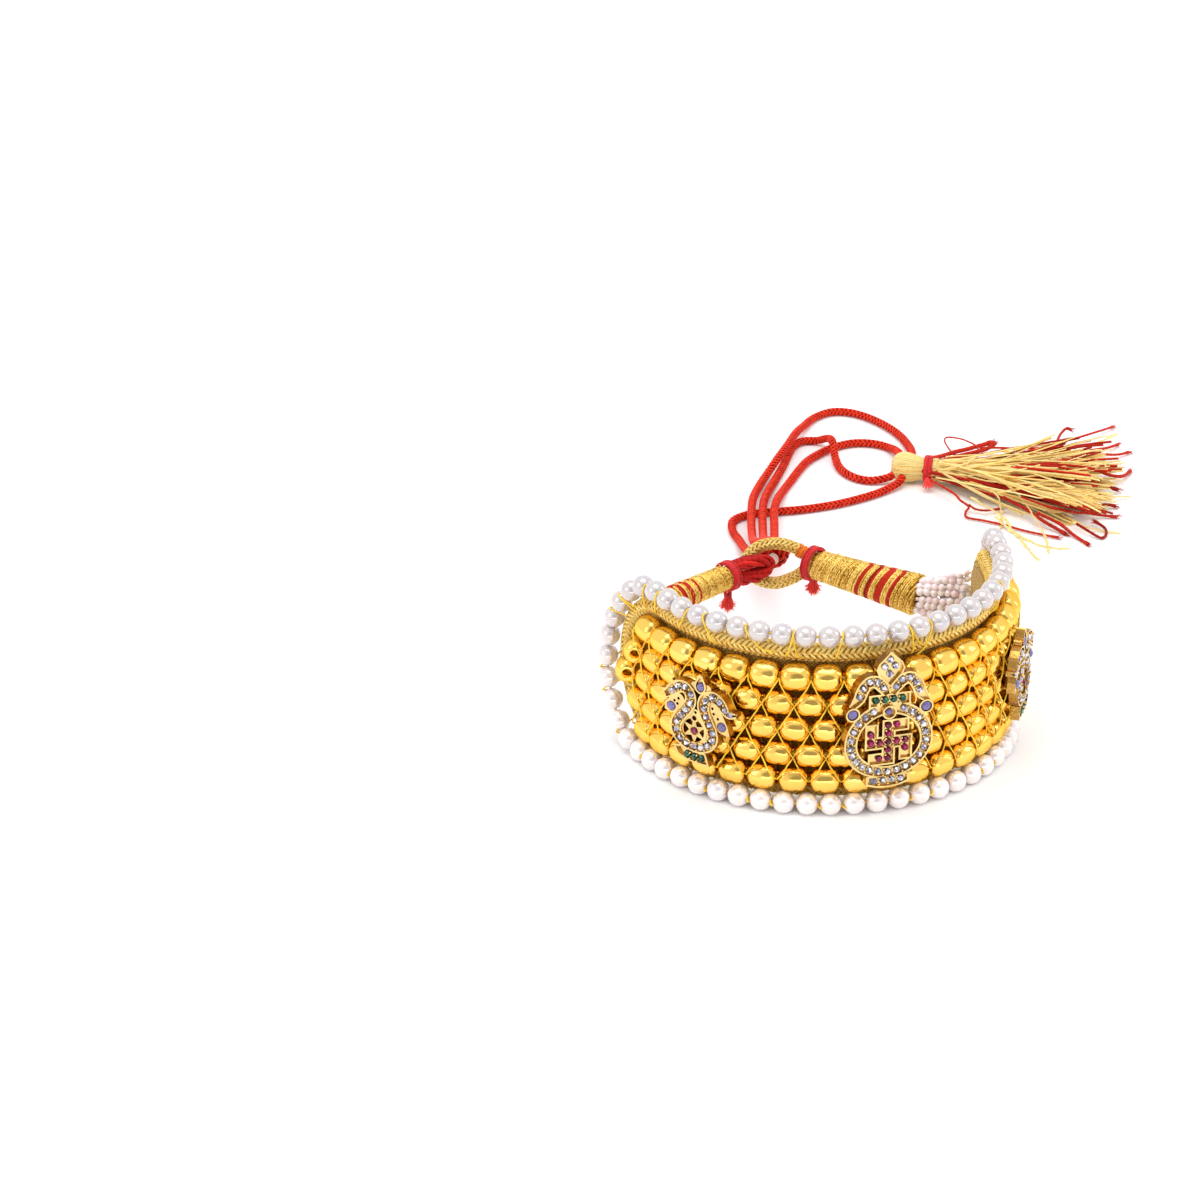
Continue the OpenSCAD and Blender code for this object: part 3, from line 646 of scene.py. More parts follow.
def pearl_lustre(colour):
    """Pearl: soft white with lilac and rose clouds, half mirror, under a clear skin."""
    m, tree = new_material("pearl_lustre", {
        "Metallic": 0.34, "Sheen Weight": 0.35, "Sheen Roughness": 0.25, "Coat Weight": 0.9, "Coat Roughness": 0.05,
        "Specular IOR Level": 0.7, "Subsurface Weight": 0.12, "Subsurface Radius": (0.0022, 0.0018, 0.0016),
        "Subsurface Scale": 1.0})
    cloud = noise(tree, 420.0, 1.0)
    skin = ramp(tree, added(tree, cloud, (island(tree), 0.3)), (0.3, tinted(colour, 0.95, 0.92, 0.98)),
                (0.52, colour), (0.72, tinted(colour, 1.02, 0.97, 0.95)), (0.95, shade(colour, 1.05)))
    # Painted light: the lower string is painted whiter and the upper one darker, offsetting the shade near the floor
    # and the top lamp
    height = node(tree, "SeparateXYZ", {"Vector": spot_of(tree)}).outputs["Z"]
    white = spread(tree, height, 1.3, 0.85, 0.004, 0.027)
    feed(tree, "Base Color", node(tree, "VectorMath", {0: skin, "Scale": white}, operation="SCALE").outputs[0])
    rough_by(tree, cloud, 0.1, 0.2)
    relief(tree, noise(tree, 300.0, 0.0), 0.00005, 0.15)
    return m


def seed_lustre(colour):
    """Small imitation pearls: pinkish white with a soft skin, each bead a little different."""
    m, tree = new_material("seed_lustre", {
        "Roughness": 0.25, "Coat Weight": 0.6, "Coat Roughness": 0.06, "Subsurface Weight": 0.08,
        "Subsurface Radius": (0.001, 0.0008, 0.0008), "Subsurface Scale": 1.0})
    colour_by(tree, island(tree), (0.0, tinted(colour, 1.0, 0.86, 0.89)), (0.5, colour), (1.0, shade(colour, 1.07)))
    relief(tree, noise(tree, 900.0, 1.0), 0.00012, 0.4)
    return m


def cut_gem(name, dark, mid, light, ior=1.55, metal=0.0, coat=0.15):
    """Cut stone: small inner facets, each painted with its own brightness as a painted reflection, under a polished
    top.
    """
    m, tree = new_material(name, {"Roughness": 0.06, "IOR": ior, "Specular IOR Level": 0.4, "Coat Weight": coat,
                                  "Coat Roughness": 0.03, "Metallic": metal})
    # Painted reflections: each facet cell gets its own brightness, standing in for the light that the facets mirror
    painted_facet_cell = node(tree, "TexVoronoi", {"Vector": spot_of(tree), "Scale": 2600.0, "Randomness": 0.8})
    value = node(tree, "SeparateColor", {"Color": painted_facet_cell.outputs["Color"]}).outputs[0]
    colour_by(tree, value, (0.1, dark), (0.5, mid), (0.9, light))
    return m


def smooth_gem(name, dark, light):
    """Smooth domed stone with a soft inner cloud."""
    m, tree = new_material(name, {"Roughness": 0.05, "IOR": 1.6, "Coat Weight": 1.0, "Coat Roughness": 0.02,
                                  "Subsurface Weight": 0.1, "Subsurface Scale": 0.0004})
    colour_by(tree, noise(tree, 700.0, 2.0), (0.3, dark), (0.7, light))
    return m


def woven_cloth(name, dark, mid, light):
    """Plain weave with metal thread in it: over and under squares from the piece's UV map."""
    m, tree = new_material(name, {"Roughness": 0.55, "Metallic": 0.35, "Sheen Weight": 0.3,
                                  "Sheen Tint": (1.0, 0.8, 0.4, 1.0)})
    waves = [maths(tree, "SINE", maths(tree, "MULTIPLY", way, TAU)) for way in strand_of(tree)]
    over = maths(tree, "MULTIPLY", *waves)
    fine = noise(tree, 1.4, 4.0, at=node(tree, "TexCoord").outputs["UV"])
    colour_by(tree, added(tree, fine, (over, 0.22)), (0.3, dark), (0.52, mid), (0.75, light))
    relief(tree, over, 0.00008, 0.8)
    return m


def floor_paper(colour):
    m, tree = new_material("pale_floor", {"Roughness": 0.75, "Specular IOR Level": 0.2})
    colour_by(tree, noise(tree, 3.0, 2.0), (0.3, shade(colour, 0.99)), (0.7, colour))
    return m


MADE = {}
MAKERS = {
    "bead": lambda c: bead_gold(tuple(c.bead_gold)),
    "plaque": lambda c: cast_gold("pale_cast_gold", tuple(c.plaque_gold), 0.2),
    "claw": lambda c: cast_gold("bright_claw_gold", shade(c.plaque_gold, 1.06), 0.12),
    "zari": lambda c: metal_thread("braided_metal_thread", shade(c.metal_thread, 0.12), tuple(c.metal_thread),
                                   (1.0, 0.81, 0.31)),
    "winding": lambda c: wound_metal("wound_gold_thread", (0.26, 0.11, 0.01), (0.77, 0.44, 0.056), (1.0, 0.78, 0.26)),
    "lattice": lambda c: yarn("gold_sewing_thread", (0.72, 0.38, 0.006), (1.0, 0.66, 0.04), (1.0, 0.85, 0.4),
                              0.45, 0.4),
    "silk": lambda c: yarn("yellow_silk", tinted(c.thread_yellow, 1.0, 0.82, 0.5),
                           tinted(c.thread_yellow, 2.0, 1.25, 1.5), (1.0, 0.95, 0.7), through=0.25),
    "cord": lambda c: cord_yarn("red_braided_cord", shade(c.cord_red, 0.12), tuple(c.cord_red),
                                tinted(c.cord_red, 1.35, 2.2, 2.2)),
    "tie": lambda c: yarn("red_silk", shade(c.thread_red, 0.5), tinted(c.thread_red, 1.35, 2.2, 2.2),
                          (1.0, 0.5, 0.5)),
    "red_yarn": lambda c: yarn("red_yarn", shade(c.cord_red, 0.25), tinted(c.cord_red, 0.95, 1.3, 1.6),
                               (1.0, 0.4, 0.3), 0.6, 0.12),
    "loop": lambda c: cord_yarn("crimson_loop_yarn", (0.2, 0.004, 0.005), (0.62, 0.015, 0.012), (0.9, 0.04, 0.025),
                                3, 0.2),
    "fluff": lambda c: yarn("frayed_red_ends", (0.82, 0.02, 0.02), (1.0, 0.1, 0.09), (1.0, 0.6, 0.6), 0.8, 0.1, 0.1),
    "orange": lambda c: yarn("orange_thread", (0.6, 0.1, 0.005), (1.0, 0.27, 0.02), (1.0, 0.6, 0.3)),
    "pale": lambda c: yarn("pale_thread", (0.85, 0.62, 0.62), (1.0, 0.88, 0.86)),
    "pearl": lambda c: pearl_lustre(tuple(c.pearl)),
    "seed": lambda c: seed_lustre((1.0, 0.92, 0.945)),
    "ruby": lambda c: cut_gem("ruby_red", shade(c.ruby, 0.2), tuple(c.ruby), shade(c.ruby, 2.2)),
    "green": lambda c: cut_gem("emerald_green", shade(c.green, 0.2), tuple(c.green), shade(c.green, 3.0)),
    "purple": lambda c: smooth_gem("slate_purple", shade(c.purple, 0.55), shade(c.purple, 1.3)),
    "clear": lambda c: cut_gem("clear_crystal", (0.1, 0.1, 0.18), tuple(c.clear), (1.0, 1.0, 1.0), 1.9, 0.25, 0.8),
    "cloth": lambda c: woven_cloth("zari_cloth", (0.14, 0.06, 0.008), (0.5, 0.28, 0.04), (0.85, 0.56, 0.13)),
    "floor": lambda c: floor_paper((0.96, 0.96, 0.96)),
}


def finish_of(name):
    """The named finish, made once."""
    if name not in MADE:
        MADE[name] = MAKERS[name](bpy.context.scene.bracelet_colours)
    return MADE[name]


class BraceletSizes(bpy.types.PropertyGroup):
    """Sizes of the details that lie on the solids."""
    camera_turn: bpy.props.FloatProperty(
        name="Camera turn", description="Where the camera stands round the bracelet", default=math.radians(-18),
        subtype="ANGLE")
    camera_lift: bpy.props.FloatProperty(
        name="Camera lift", description="How high the camera looks from", default=math.radians(25), subtype="ANGLE")
    bead_crown: bpy.props.FloatProperty(
        name="Bead crown", description="How much fuller a bead is at its middle", default=0.18, min=0, max=0.3)
    sewing_thread: bpy.props.FloatProperty(
        name="Sewing thread", description="Thickness of the sewing thread", default=0.00028, subtype="DISTANCE",
        unit="LENGTH")
    skirt_locks: bpy.props.IntProperty(
        name="Skirt locks", description="Locks of thread in the tassel's skirt", default=62, min=20, max=150)


def swatch(name, description, *default):
    return bpy.props.FloatVectorProperty(name=name, description=description, default=default, subtype="COLOR",
                                         size=3, min=0, max=1)


class BraceletColours(bpy.types.PropertyGroup):
    """Colours of the finishes."""
    bead_gold: swatch("Bead gold", "Colour of the gold beads", 1.0, 0.64, 0.135)
    plaque_gold: swatch("Plaque gold", "Colour of the cast plaques", 0.86, 0.62, 0.245)
    metal_thread: swatch("Metal thread", "Colour of the braid and loop", 0.88, 0.51, 0.078)
    thread_yellow: swatch("Yellow thread", "Colour of the tassel's yellow threads", 0.94, 0.64, 0.2)
    cord_red: swatch("Cord red", "Colour of the braided drawcords", 0.6, 0.02, 0.006)
    thread_red: swatch("Tie red", "Colour of the ties", 0.53, 0.012, 0.014)
    pearl: swatch("Pearl", "Colour of the pearls", 0.71, 0.665, 0.66)
    ruby: swatch("Ruby", "Colour of the red stones", 0.2, 0.002, 0.05)
    green: swatch("Green", "Colour of the green stones", 0.002, 0.06, 0.03)
    purple: swatch("Purple", "Colour of the purple stones", 0.13, 0.1, 0.34)
    clear: swatch("Clear", "Colour of the clear stones", 0.42, 0.4, 0.52)


class BRACELET_OT_stage(bpy.types.Operator):
    """Pale floor, soft lights and the camera"""
    bl_idname = "bracelet.stage"
    bl_label = "Stage"

    def execute(self, context):
        scene, sizes = context.scene, context.scene.bracelet_sizes
        start()
        bpy.ops.mesh.primitive_plane_add(size=8, location=(0, 0, 0))
        floor = context.object
        floor.name = "floor"
        floor.data.materials.append(finish_of("floor"))
        aim = Vector((-18.7, 55.5, 0)) * MM
        a, e, distance = sizes.camera_turn, sizes.camera_lift, 0.7
        away = Vector((math.sin(a) * math.cos(e), -math.cos(a) * math.cos(e), math.sin(e))) * distance
        start()
        bpy.ops.object.camera_add(location=aim + away, rotation=(-away).to_track_quat("-Z", "Y").to_euler())
        camera = context.object
        camera.name = "camera"
        camera.data.lens = 121.9
        camera.data.sensor_width = 36
        camera.data.clip_start = 0.01
        camera.data.dof.use_dof = False
        scene.camera = camera
        for name, at, to, size, power in [
            ("top_light", (-0.06, -0.04, 0.8), (0.0, 0.02, 0.0), (0.6, 0.46), 2.5),
            ("left_light", (-0.78, -0.12, 0.4), (0.0, 0.0, 0.02), (0.3, 0.4), 0.8),
            ("front_fill", (-0.16, -0.75, 0.07), (0.0, -0.02, 0.01), (0.9, 0.12), 0.9),
            ("right_light", (0.74, -0.16, 0.4), (0.0, 0.0, 0.02), (0.24, 0.4), 0.7),
        ]:
            start()
            bpy.ops.object.light_add(type="AREA", location=at,
                                     rotation=(Vector(to) - Vector(at)).to_track_quat("-Z", "Y").to_euler())
            light = context.object
            light.name = name
            light.data.shape = "RECTANGLE"
            light.data.size, light.data.size_y = size
            light.data.energy = power
        # A white room, dimmer behind the camera, so that the gold has something dark to mirror
        world = bpy.data.worlds.new("soft_room")
        world.use_nodes = True
        tree = world.node_tree
        sky = node(tree, "TexCoord").outputs["Generated"]
        toward = vectors(tree, "DOT_PRODUCT", sky, tuple(away.normalized())).outputs["Value"]
        dim = node(tree, "MapRange", {"Value": toward, "From Min": 0.86, "From Max": 0.95, "To Min": 1.0,
                                      "To Max": 0.42}, interpolation_type="SMOOTHSTEP")
        tree.links.new(dim.outputs[0], tree.nodes["Background"].inputs["Strength"])
        tree.nodes["Background"].inputs["Color"].default_value = (1.04, 1.04, 1.05, 1)
        scene.world = world
        scene.view_settings.view_transform = "Standard"
        return {"FINISHED"}


class BRACELET_OT_drawcords(bpy.types.Operator):
    """Four braided red drawcords from the closure to the tassel"""
    bl_idname = "bracelet.drawcords"
    bl_label = "Drawcords"

    def execute(self, context):
        for seed, (key, route) in enumerate(ROUTES.items()):
            line = evenly(rounded(route, steps=10), step=0.26)
            strips = red_cord(line, seed, core_r=0.42)
            obj = hang(lofted(strips), f"drawcord_{key}_braid", "cord", [f"drawcord_{key}"])
        return {"FINISHED"}


class BRACELET_OT_cord_hitch(bpy.types.Operator):
    """Bights of the drawcords round the two loops, bound by two turns of cord"""
    bl_idname = "bracelet.cord_hitch"
    bl_label = "Cord hitch"

    def execute(self, context):
        routes = [[(x, *p) for x, p in zip(across, BIGHT)] for across in BIGHTS_ACROSS]
        steps, wide, high, climb = 60, 1.95, 1.75, 0.75
        turns = []
        for k in range(steps + 1):
            q = 2 * TAU * k / steps
            turns.append((4.72 + wide * math.cos(q), 32.75 + climb * k / steps, 14.98 + high * math.sin(q)))
        strips = []
        for k, route in enumerate(routes + [turns]):
            strips += red_cord(evenly(rounded(route, steps=8), step=0.22), seed=20 + k, core_r=0.44)
        hang(lofted(strips), "cord_hitch_turns", "cord", ["cord_hitch"])
        return {"FINISHED"}


def choose(obj, kind, test):
    """In edit mode, select only the faces or edges that pass a test."""
    bpy.ops.mesh.select_mode(type=kind)
    bpy.ops.mesh.select_all(action="DESELECT")
    bm = bmesh.from_edit_mesh(obj.data)
    for item in bm.faces if kind == "FACE" else bm.edges:
        item.select_set(test(item))
    bmesh.update_edit_mesh(obj.data)


def bead_model(d, length, crown):
    """Barrel bead along Z with a round hole, modelled from a cylinder."""
    r, top = d / 2, length / 2

    def far(v):
        return math.hypot(v.co.x, v.co.y)

    def on_rim(e):
        a, b = e.verts
        return all(abs(abs(v.co.z) - top) < 1e-3 and far(v) > r - 0.01 for v in (a, b)) and a.co.z * b.co.z > 0

    def on_side(e):
        a, b = e.verts
        return abs(a.co.z + b.co.z) < 1e-4 and abs(a.co.z - b.co.z) > 0.5 and far(a) > r - 0.05

    start()
    bpy.ops.mesh.primitive_cylinder_add(vertices=28, radius=r, depth=length, end_fill_type="NGON")
    obj = bpy.context.object
    bpy.ops.object.mode_set(mode="EDIT")
    choose(obj, "FACE", lambda f: abs(f.normal.z) > 0.9)
    bpy.ops.mesh.inset(thickness=r - BEAD_HOLE_R, depth=0)
    bpy.ops.mesh.bridge_edge_loops()
    choose(obj, "EDGE", on_rim)
    bpy.ops.mesh.bevel(offset=1.0, segments=5, profile=0.5)
    choose(obj, "EDGE", on_side)
    bpy.ops.mesh.subdivide(number_cuts=3)
    bpy.ops.object.mode_set(mode="OBJECT")
    for v in obj.data.vertices:
        if far(v) > BEAD_HOLE_R + 0.05:
            full = 1 - crown * (v.co.z / top) ** 2
            v.co.x *= full
            v.co.y *= full
        else:
            v.co.z *= 0.985
    return obj


class BRACELET_OT_beads(bpy.types.Operator):
    """Five rows of gold barrel beads and the threads inside them"""
    bl_idname = "bracelet.beads"
    bl_label = "Gold beads"

    def execute(self, context):
        rnd = random.Random(7)
        crown = context.scene.bracelet_sizes.bead_crown
        lines = []
        for row, (z, count) in enumerate(zip(ROW_Z, ROW_BEADS)):
            model = bead_model(*(OUTER_BEAD if row in OUTER_ROWS else MIDDLE_BEAD), crown)
            places = []
            for i in range(count):
                a = (i - (count - 1) / 2) * BEAD_TURN
                at, askew = place(a, RING_R, z), 0.0
                if i == 0 and row in (1, 2):
                    # The last beads at the left sit askew and show their holes
                    at, askew = place(a - 0.6, RING_R + 0.7, z), math.radians(-40)
                places.append(Matrix.Translation(at) @ turned(heading(a, RING_R) + askew, "Z")
                              @ turned(math.radians(90 + rnd.uniform(-3, 3)), "Y")
                              @ turned(math.radians(rnd.uniform(-2.5, 2.5)), "X")
                              @ turned(any_turn(rnd), "Z") @ Matrix.Scale(1 + rnd.uniform(-0.02, 0.01), 4))
            hang(copies(model, places), f"bead_row_{row + 1}_gold", "bead", [f"bead_row_{row + 1}"])
            reach = (count - 1) / 2 * BEAD_TURN + 3.4
            core = np.array([tuple(place(a, RING_R, z)) for a in np.linspace(-reach, reach, 150)])
            _, n, b = frames(core, ref=UP)
            for ply in range(3):
                lines.append(core + 0.16 * wound(running(core) * 2.2 + ply * 2.094, n, b))
        hang(threads(lines, 0.2), "row_threads_twist", "lattice", ["row_threads"])
        return {"FINISHED"}


class BRACELET_OT_pearls(bpy.types.Operator):
    """Pearls round the whole edge, on their thread"""
    bl_idname = "bracelet.pearls"
    bl_label = "Pearls"

    def execute(self, context):
        rnd = random.Random(11)
        line, ways = pearl_places()
        start()
        bpy.ops.mesh.primitive_uv_sphere_add(segments=28, ring_count=18, radius=PEARL_R + 0.12)
        model = context.object
        for v in model.data.vertices:
            # A dimple at each end of the hole
            v.co.z *= 1 - 0.16 * max(0.0, 1 - math.hypot(v.co.x, v.co.y) / 0.5)
        for part in ("top", "bottom"):
            places = []
            for p, t in zip(line, ways):
                if (p[2] > 14) == (part == "top"):
                    along = UP.rotation_difference(Vector(t)).to_matrix().to_4x4()
                    stretch = Matrix.Diagonal((1 + rnd.uniform(-0.025, 0.02), 1 + rnd.uniform(-0.025, 0.02), 1, 1))
                    places.append(Matrix.Translation(Vector(p)) @ along @ turned(any_turn(rnd), "Z") @ stretch)
            hang(copies(model, places, keep=True), f"pearls_{part}_round", "pearl", [f"pearls_{part}"])
        bpy.data.objects.remove(model)
        core = evenly(rounded(line, steps=4, closed=True), step=0.5, closed=True)
        hang(threads([core], 0.2, closed=True), "pearl_thread_line", "lattice", ["pearl_thread"])
        return {"FINISHED"}


class BRACELET_OT_cloth(bpy.types.Operator):
    """Cloth wall behind the beads, with a quilted lining"""
    bl_idname = "bracelet.cloth"
    bl_label = "Cloth band"

    def execute(self, context):
        columns, layers, weave = 190, 25, 0.55
        rings = []
        for i in range(columns + 1):
            outer, inner = [], []
            for k in range(layers):
                z = mix(*CLOTH_Z, k / (layers - 1))
                a = (2 * i / columns - 1) * cloth_end(z)
                puff = 0.16 * math.sin(math.pi * (z - 5.4) / 4.35) ** 2 + 0.05 * math.sin(a * 1.9 + z)
                outer.append(tuple(place(a, CLOTH_R[1], z)))
                inner.append(tuple(place(a, CLOTH_R[0] - puff, z)))
            rings.append(outer[::-1] + inner)
        obj = lofted([(np.array(rings), False, 0.5)])
        for loop, uv in zip(obj.data.loops, obj.data.uv_layers["UVMap"].data):
            co = obj.data.vertices[loop.vertex_index].co / MM
            uv.uv = (math.atan2(co.x, -co.y) * 27 / weave, co.z / weave)
        hang(obj, "band_cloth", "cloth", ["band_backing"])
        pitch, stitch, lines = 5.2, 3.4, []
        for z in ROW_Z[3:0:-1]:
            reach = cloth_end(z) - 2
            for k in range(int(2 * reach / pitch)):
                lines.append([place(pitch * k - reach + stitch * f,
                                    CLOTH_R[0] - 0.06 - 0.12 * math.sin(math.pi * f), z)
                              for f in np.linspace(0, 1, 6)])
        hang(threads(lines, 0.14), "lining_stitches", "lattice")
        return {"FINISHED"}


class BRACELET_OT_piping(bpy.types.Operator):
    """Braided metal-thread piping round the edge, and the stitches that hold the pearls to it"""
    bl_idname = "bracelet.piping"
    bl_label = "Piping"

    def execute(self, context):
        line = evenly(rounded(piping_line(), steps=6, closed=True), step=0.3, closed=True)
        ref = line * (1, 1, 0)
        strips = braid(line, radius=1.2, count=8, pitch=7.2, width=0.37, thick=0.2, lift=0.13, closed=True, ref=ref,
                       sides=5, seed=3)
        # The core's tone of 0 is painted shade, as it shows only between the strands
        strips.append((rings_on(line, 1.08, 10, True, ref), True, 0.0))
        hang(lofted(strips), "edge_piping_braid", "zari", ["edge_piping"])

        rnd = random.Random(5)
        pearls, _ = pearl_places()
        base = piping_line()
        lines = []
        for p in (pearls + np.roll(pearls, -1, 0)) / 2:
            q = base[np.argmin(np.linalg.norm(base - p, axis=1))]
            n = unit(np.array([p[0], p[1], 0]))
            d = unit(p - q)
            t = np.cross(d, n)
            # Some gaps have no stitch, some one, some a pair that spreads, and a few a long slanted one
            style = rnd.random()
            if style < 0.42:
                leans = ()
            elif style < 0.62:
                leans = (rnd.uniform(-0.5, 0.5),)
            elif style < 0.87:
                leans = (rnd.uniform(-1.8, -0.8), rnd.uniform(0.6, 1.8))
            else:
                leans = (rnd.choice((-1, 1)) * rnd.uniform(2.6, 4.2),)
            for lean in leans:
                down = rnd.uniform(0.2, 1.0)
                lines.append(rounded([
                    p - 0.5 * n + 0.9 * d, p + 0.5 * n + 0.85 * d, p + 1.2 * n - 0.3 * d + 0.1 * lean * t,
                    q + 1.72 * n + 0.5 * d + 0.5 * lean * t, q + 1.68 * n - 0.5 * down * d + 0.9 * lean * t,
                    q + 1.15 * n - (0.5 * down + 0.55) * d + lean * t], 4))
        hang(threads(lines, context.scene.bracelet_sizes.sewing_thread / MM / 2), "pearl_stitches", "lattice")
        return {"FINISHED"}


class BRACELET_OT_lattice(bpy.types.Operator):
    """Fine gold thread in diamonds over the middle rows"""
    bl_idname = "bracelet.lattice"
    bl_label = "Thread lattice"

    def execute(self, context):
        rnd = random.Random(9)
        # Height of the thread over the beads' middle, its rise between them, its dip at the ends, and its last turn
        over, rise, dip, last = 1.62, 0.42, 0.7, 88
        lines = []
        for k in range(-11, 11):
            for lean in (-1, 1):
                line = []
                for row in range(4):
                    a0, a1 = ((k + 0.5 + lean * (r - 2) * 0.5) * BEAD_TURN for r in (row, row + 1))
                    if max(abs(a0), abs(a1)) > last:
                        continue
                    for f in np.linspace(0, 1, 8):
                        out = RING_R + over + rise * math.sin(math.pi * f)
                        if (row, f) in ((0, 0), (3, 1)):
                            out -= dip
                        line.append(place(mix(a0, a1, f) + rnd.uniform(-0.1, 0.1), out,
                                          mix(ROW_Z[row], ROW_Z[row + 1], f)))
                if line:
                    lines.append(line)
        hang(threads(lines, 0.125), "bead_lattice", "lattice")
        return {"FINISHED"}


def cut_stone_model(r, high):
    """Cut stone with table, crown and girdle, from rings of points."""
    rings = []
    for n, k, z, turn in ((12, 1.0, 0, 0), (12, 1.0, 0.3, 0), (6, 0.8, 0.75, 30), (6, 0.52, 1.0, 0)):
        start()
        bpy.ops.mesh.primitive_circle_add(vertices=n, radius=r * k, location=(0, 0, z * high),
                                          rotation=(0, 0, math.radians(turn)))
        rings.append(bpy.context.object)
    start()
    for obj in rings:
        obj.select_set(True)
    bpy.context.view_layer.objects.active = rings[0]
    bpy.ops.object.transform_apply(location=True, rotation=True, scale=True)
    obj = joined(rings)
    bpy.ops.object.mode_set(mode="EDIT")
    bpy.ops.mesh.select_all(action="SELECT")
    bpy.ops.mesh.convex_hull()
    bpy.ops.mesh.select_all(action="SELECT")
    bpy.ops.mesh.normals_make_consistent(inside=False)
    bpy.ops.object.mode_set(mode="OBJECT")
    return obj


def dome_model(r, high):
    """Smooth domed stone."""
    start()
    bpy.ops.mesh.primitive_uv_sphere_add(segments=20, ring_count=12, radius=r)
    obj = bpy.context.object
    for v in obj.data.vertices:
        v.co.z = max(v.co.z, -0.2 * r) / r * high
    return obj


def stone_places(frame_of, spots, rnd, sink=0.0):
    return [frame_of @ Matrix.Translation((u, v, STONE_BASE + sink)) @ turned(rnd.uniform(0, 1), "Z")
            for u, v in spots]


class BRACELET_OT_stones(bpy.types.Operator):
    """Cut and domed stones of the three plaques"""
    bl_idname = "bracelet.stones"
    bl_label = "Stones"

    def execute(self, context):
        rnd = random.Random(13)
        at, centre, sides = plaque_frames(), centre_spots(), ("left", "right")
        for key, extra, r in (("ruby", [(0, 0)], 0.565), ("green", PEACOCK_GREENS, 0.6),
                              ("clear", PEACOCK_STONES, 0.565)):
            places = stone_places(at["centre"], centre[key], rnd)
            for side in sides:
                places += stone_places(at[side], peacock_spots(side, extra), rnd)
            hang(copies(cut_stone_model(r, 0.62), places), f"{key}_stones_cut", key,
                 [f"{key}_stones"], smooth=False)
        big = stone_places(at["centre"], centre["purple"], rnd, 0.1)
        big[2] @= Matrix.Scale(0.68, 4)
        small = []
        for side in sides:
            small += stone_places(at[side], peacock_spots(side, PEACOCK_PURPLES), rnd, 0.05)
        domes = joined([copies(dome_model(0.84, 0.7), big), copies(dome_model(0.74, 0.62), small)])
        hang(domes, "purple_stones_domed", "purple", ["purple_stones"])
        return {"FINISHED"}


class BRACELET_OT_plaques(bpy.types.Operator):
    """Cast finish of the plaques, and the claws that hold their stones"""
    bl_idname = "bracelet.plaques"
    bl_label = "Plaques"

    def execute(self, context):
        for name in ("centre_plaque", "peacock_left", "peacock_right"):
            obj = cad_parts[name]
            obj.data.materials.clear()
            obj.data.materials.append(finish_of("plaque"))
        at, centre = plaque_frames(), centre_spots()
        clear, ruby = centre["clear"], centre["ruby"]
        # Strings of stones: pot, foot, both leaves and bar, then the arms of the cross
        rows = [("centre", spots) for spots in (clear[:23], clear[23:27], clear[27:32], clear[32:37], centre["green"],
                                                ruby[:5], ruby[5:7] + [(0, 0)] + ruby[7:9])]
        rows += [(side, peacock_spots(side, spots)) for side in ("left", "right")
                 for spots in (PEACOCK_STONES, PEACOCK_GREENS)]
        start()
        bpy.ops.mesh.primitive_uv_sphere_add(segments=8, ring_count=6, radius=0.21)
        claw = context.object
        for v in claw.data.vertices:
            v.co.z *= 1.5
        places = []
        for key, spots in rows:
            line = np.array([(u, v, 0) for u, v in spots], float)
            d = unit(line[1:] - line[:-1])
            side = np.stack([-d[:, 1], d[:, 0], d[:, 2]], 1)
            for m, s in zip((line[1:] + line[:-1]) / 2, side):
                for lean in (-1, 1):
                    p = m + lean * 0.5 * s
                    places.append(at[key] @ Matrix.Translation((p[0], p[1], 1.52)))
        hang(copies(claw, places), "stone_claws", "claw")
        return {"FINISHED"}


def chain(a, b, bow, step, offset):
    """Places of small beads on a bowed line; offset shifts them along it."""
    count = max(3, round((b - a).length * 1.04 / step))
    shares = [(k + offset) / count for k in range(count)]
    return [a.lerp(b, f) + bow * math.sin(math.pi * f) for f in shares]


class BRACELET_OT_seed_strands(bpy.types.Operator):
    """Strands of seed pearls from the band's ends to the tails"""
    bl_idname = "bracelet.seed_strands"
    bl_label = "Seed strands"

    def execute(self, context):
        rnd = random.Random(17)
        start()
        bpy.ops.mesh.primitive_uv_sphere_add(segments=12, ring_count=8, radius=0.7)
        model = context.object
        for v in model.data.vertices:
            v.co.z *= 0.9
        for side, key in ((-1, "left"), (1, "right")):
            foot, _, way, across = tail_axes(key)
            reach = TAILS[key][2] - 0.75
            places, strings = [], []
            for k in range(9):
                for layer in (-1, 1):
                    a = Vector((side * 28.5 + layer * 0.75, 6 + rnd.uniform(-0.2, 0.2),
                                14.5 + mix(-5.4, 5.6, k / 8) + rnd.uniform(-0.2, 0.2)))
                    q = math.pi * (k - 4) / 8 + (0.15 if layer > 0 else 0)
                    b = foot + reach * (math.sin(q) * UP + layer * math.cos(q) * across * 0.8) - way * 0.3
                    bow = across * layer * 0.35 + Vector((0, 0, rnd.uniform(-0.25, 0.25)))
                    strings.append([a.lerp(b, f) + bow * math.sin(math.pi * f) for f in np.linspace(0, 1, 9)])
                    for p in chain(a, b, bow, 1.22, rnd.random()):
                        p += Vector([rnd.uniform(-0.12, 0.12) for _ in range(3)])
                        places.append(Matrix.Translation(p) @ turned(rnd.uniform(0, 3), "X")
                                      @ turned(rnd.uniform(0, 3), "Y") @ Matrix.Scale(rnd.uniform(0.9, 1.12), 4))
            hang(copies(model, places, keep=True), f"seed_pearls_{key}", "seed", [f"seed_strands_{key}"])
            hang(threads(strings, 0.3), f"seed_threads_{key}", "pale")
        bpy.data.objects.remove(model)
        return {"FINISHED"}


def tail_profile(key, f):
    """Radius of a wound tail at the share f of its length."""
    _, _, a, b = TAILS[key]
    mid, shoulder = mix(a, b, 0.6), 0.04
    if f < shoulder:
        return mix(a, mid, f / 0.5) * math.sqrt(1 - (1 - f / shoulder) ** 2 * 0.35)
    return mix(a, mid, f / 0.5) if f < 0.5 else mix(mid, b, (f - 0.5) / 0.5)


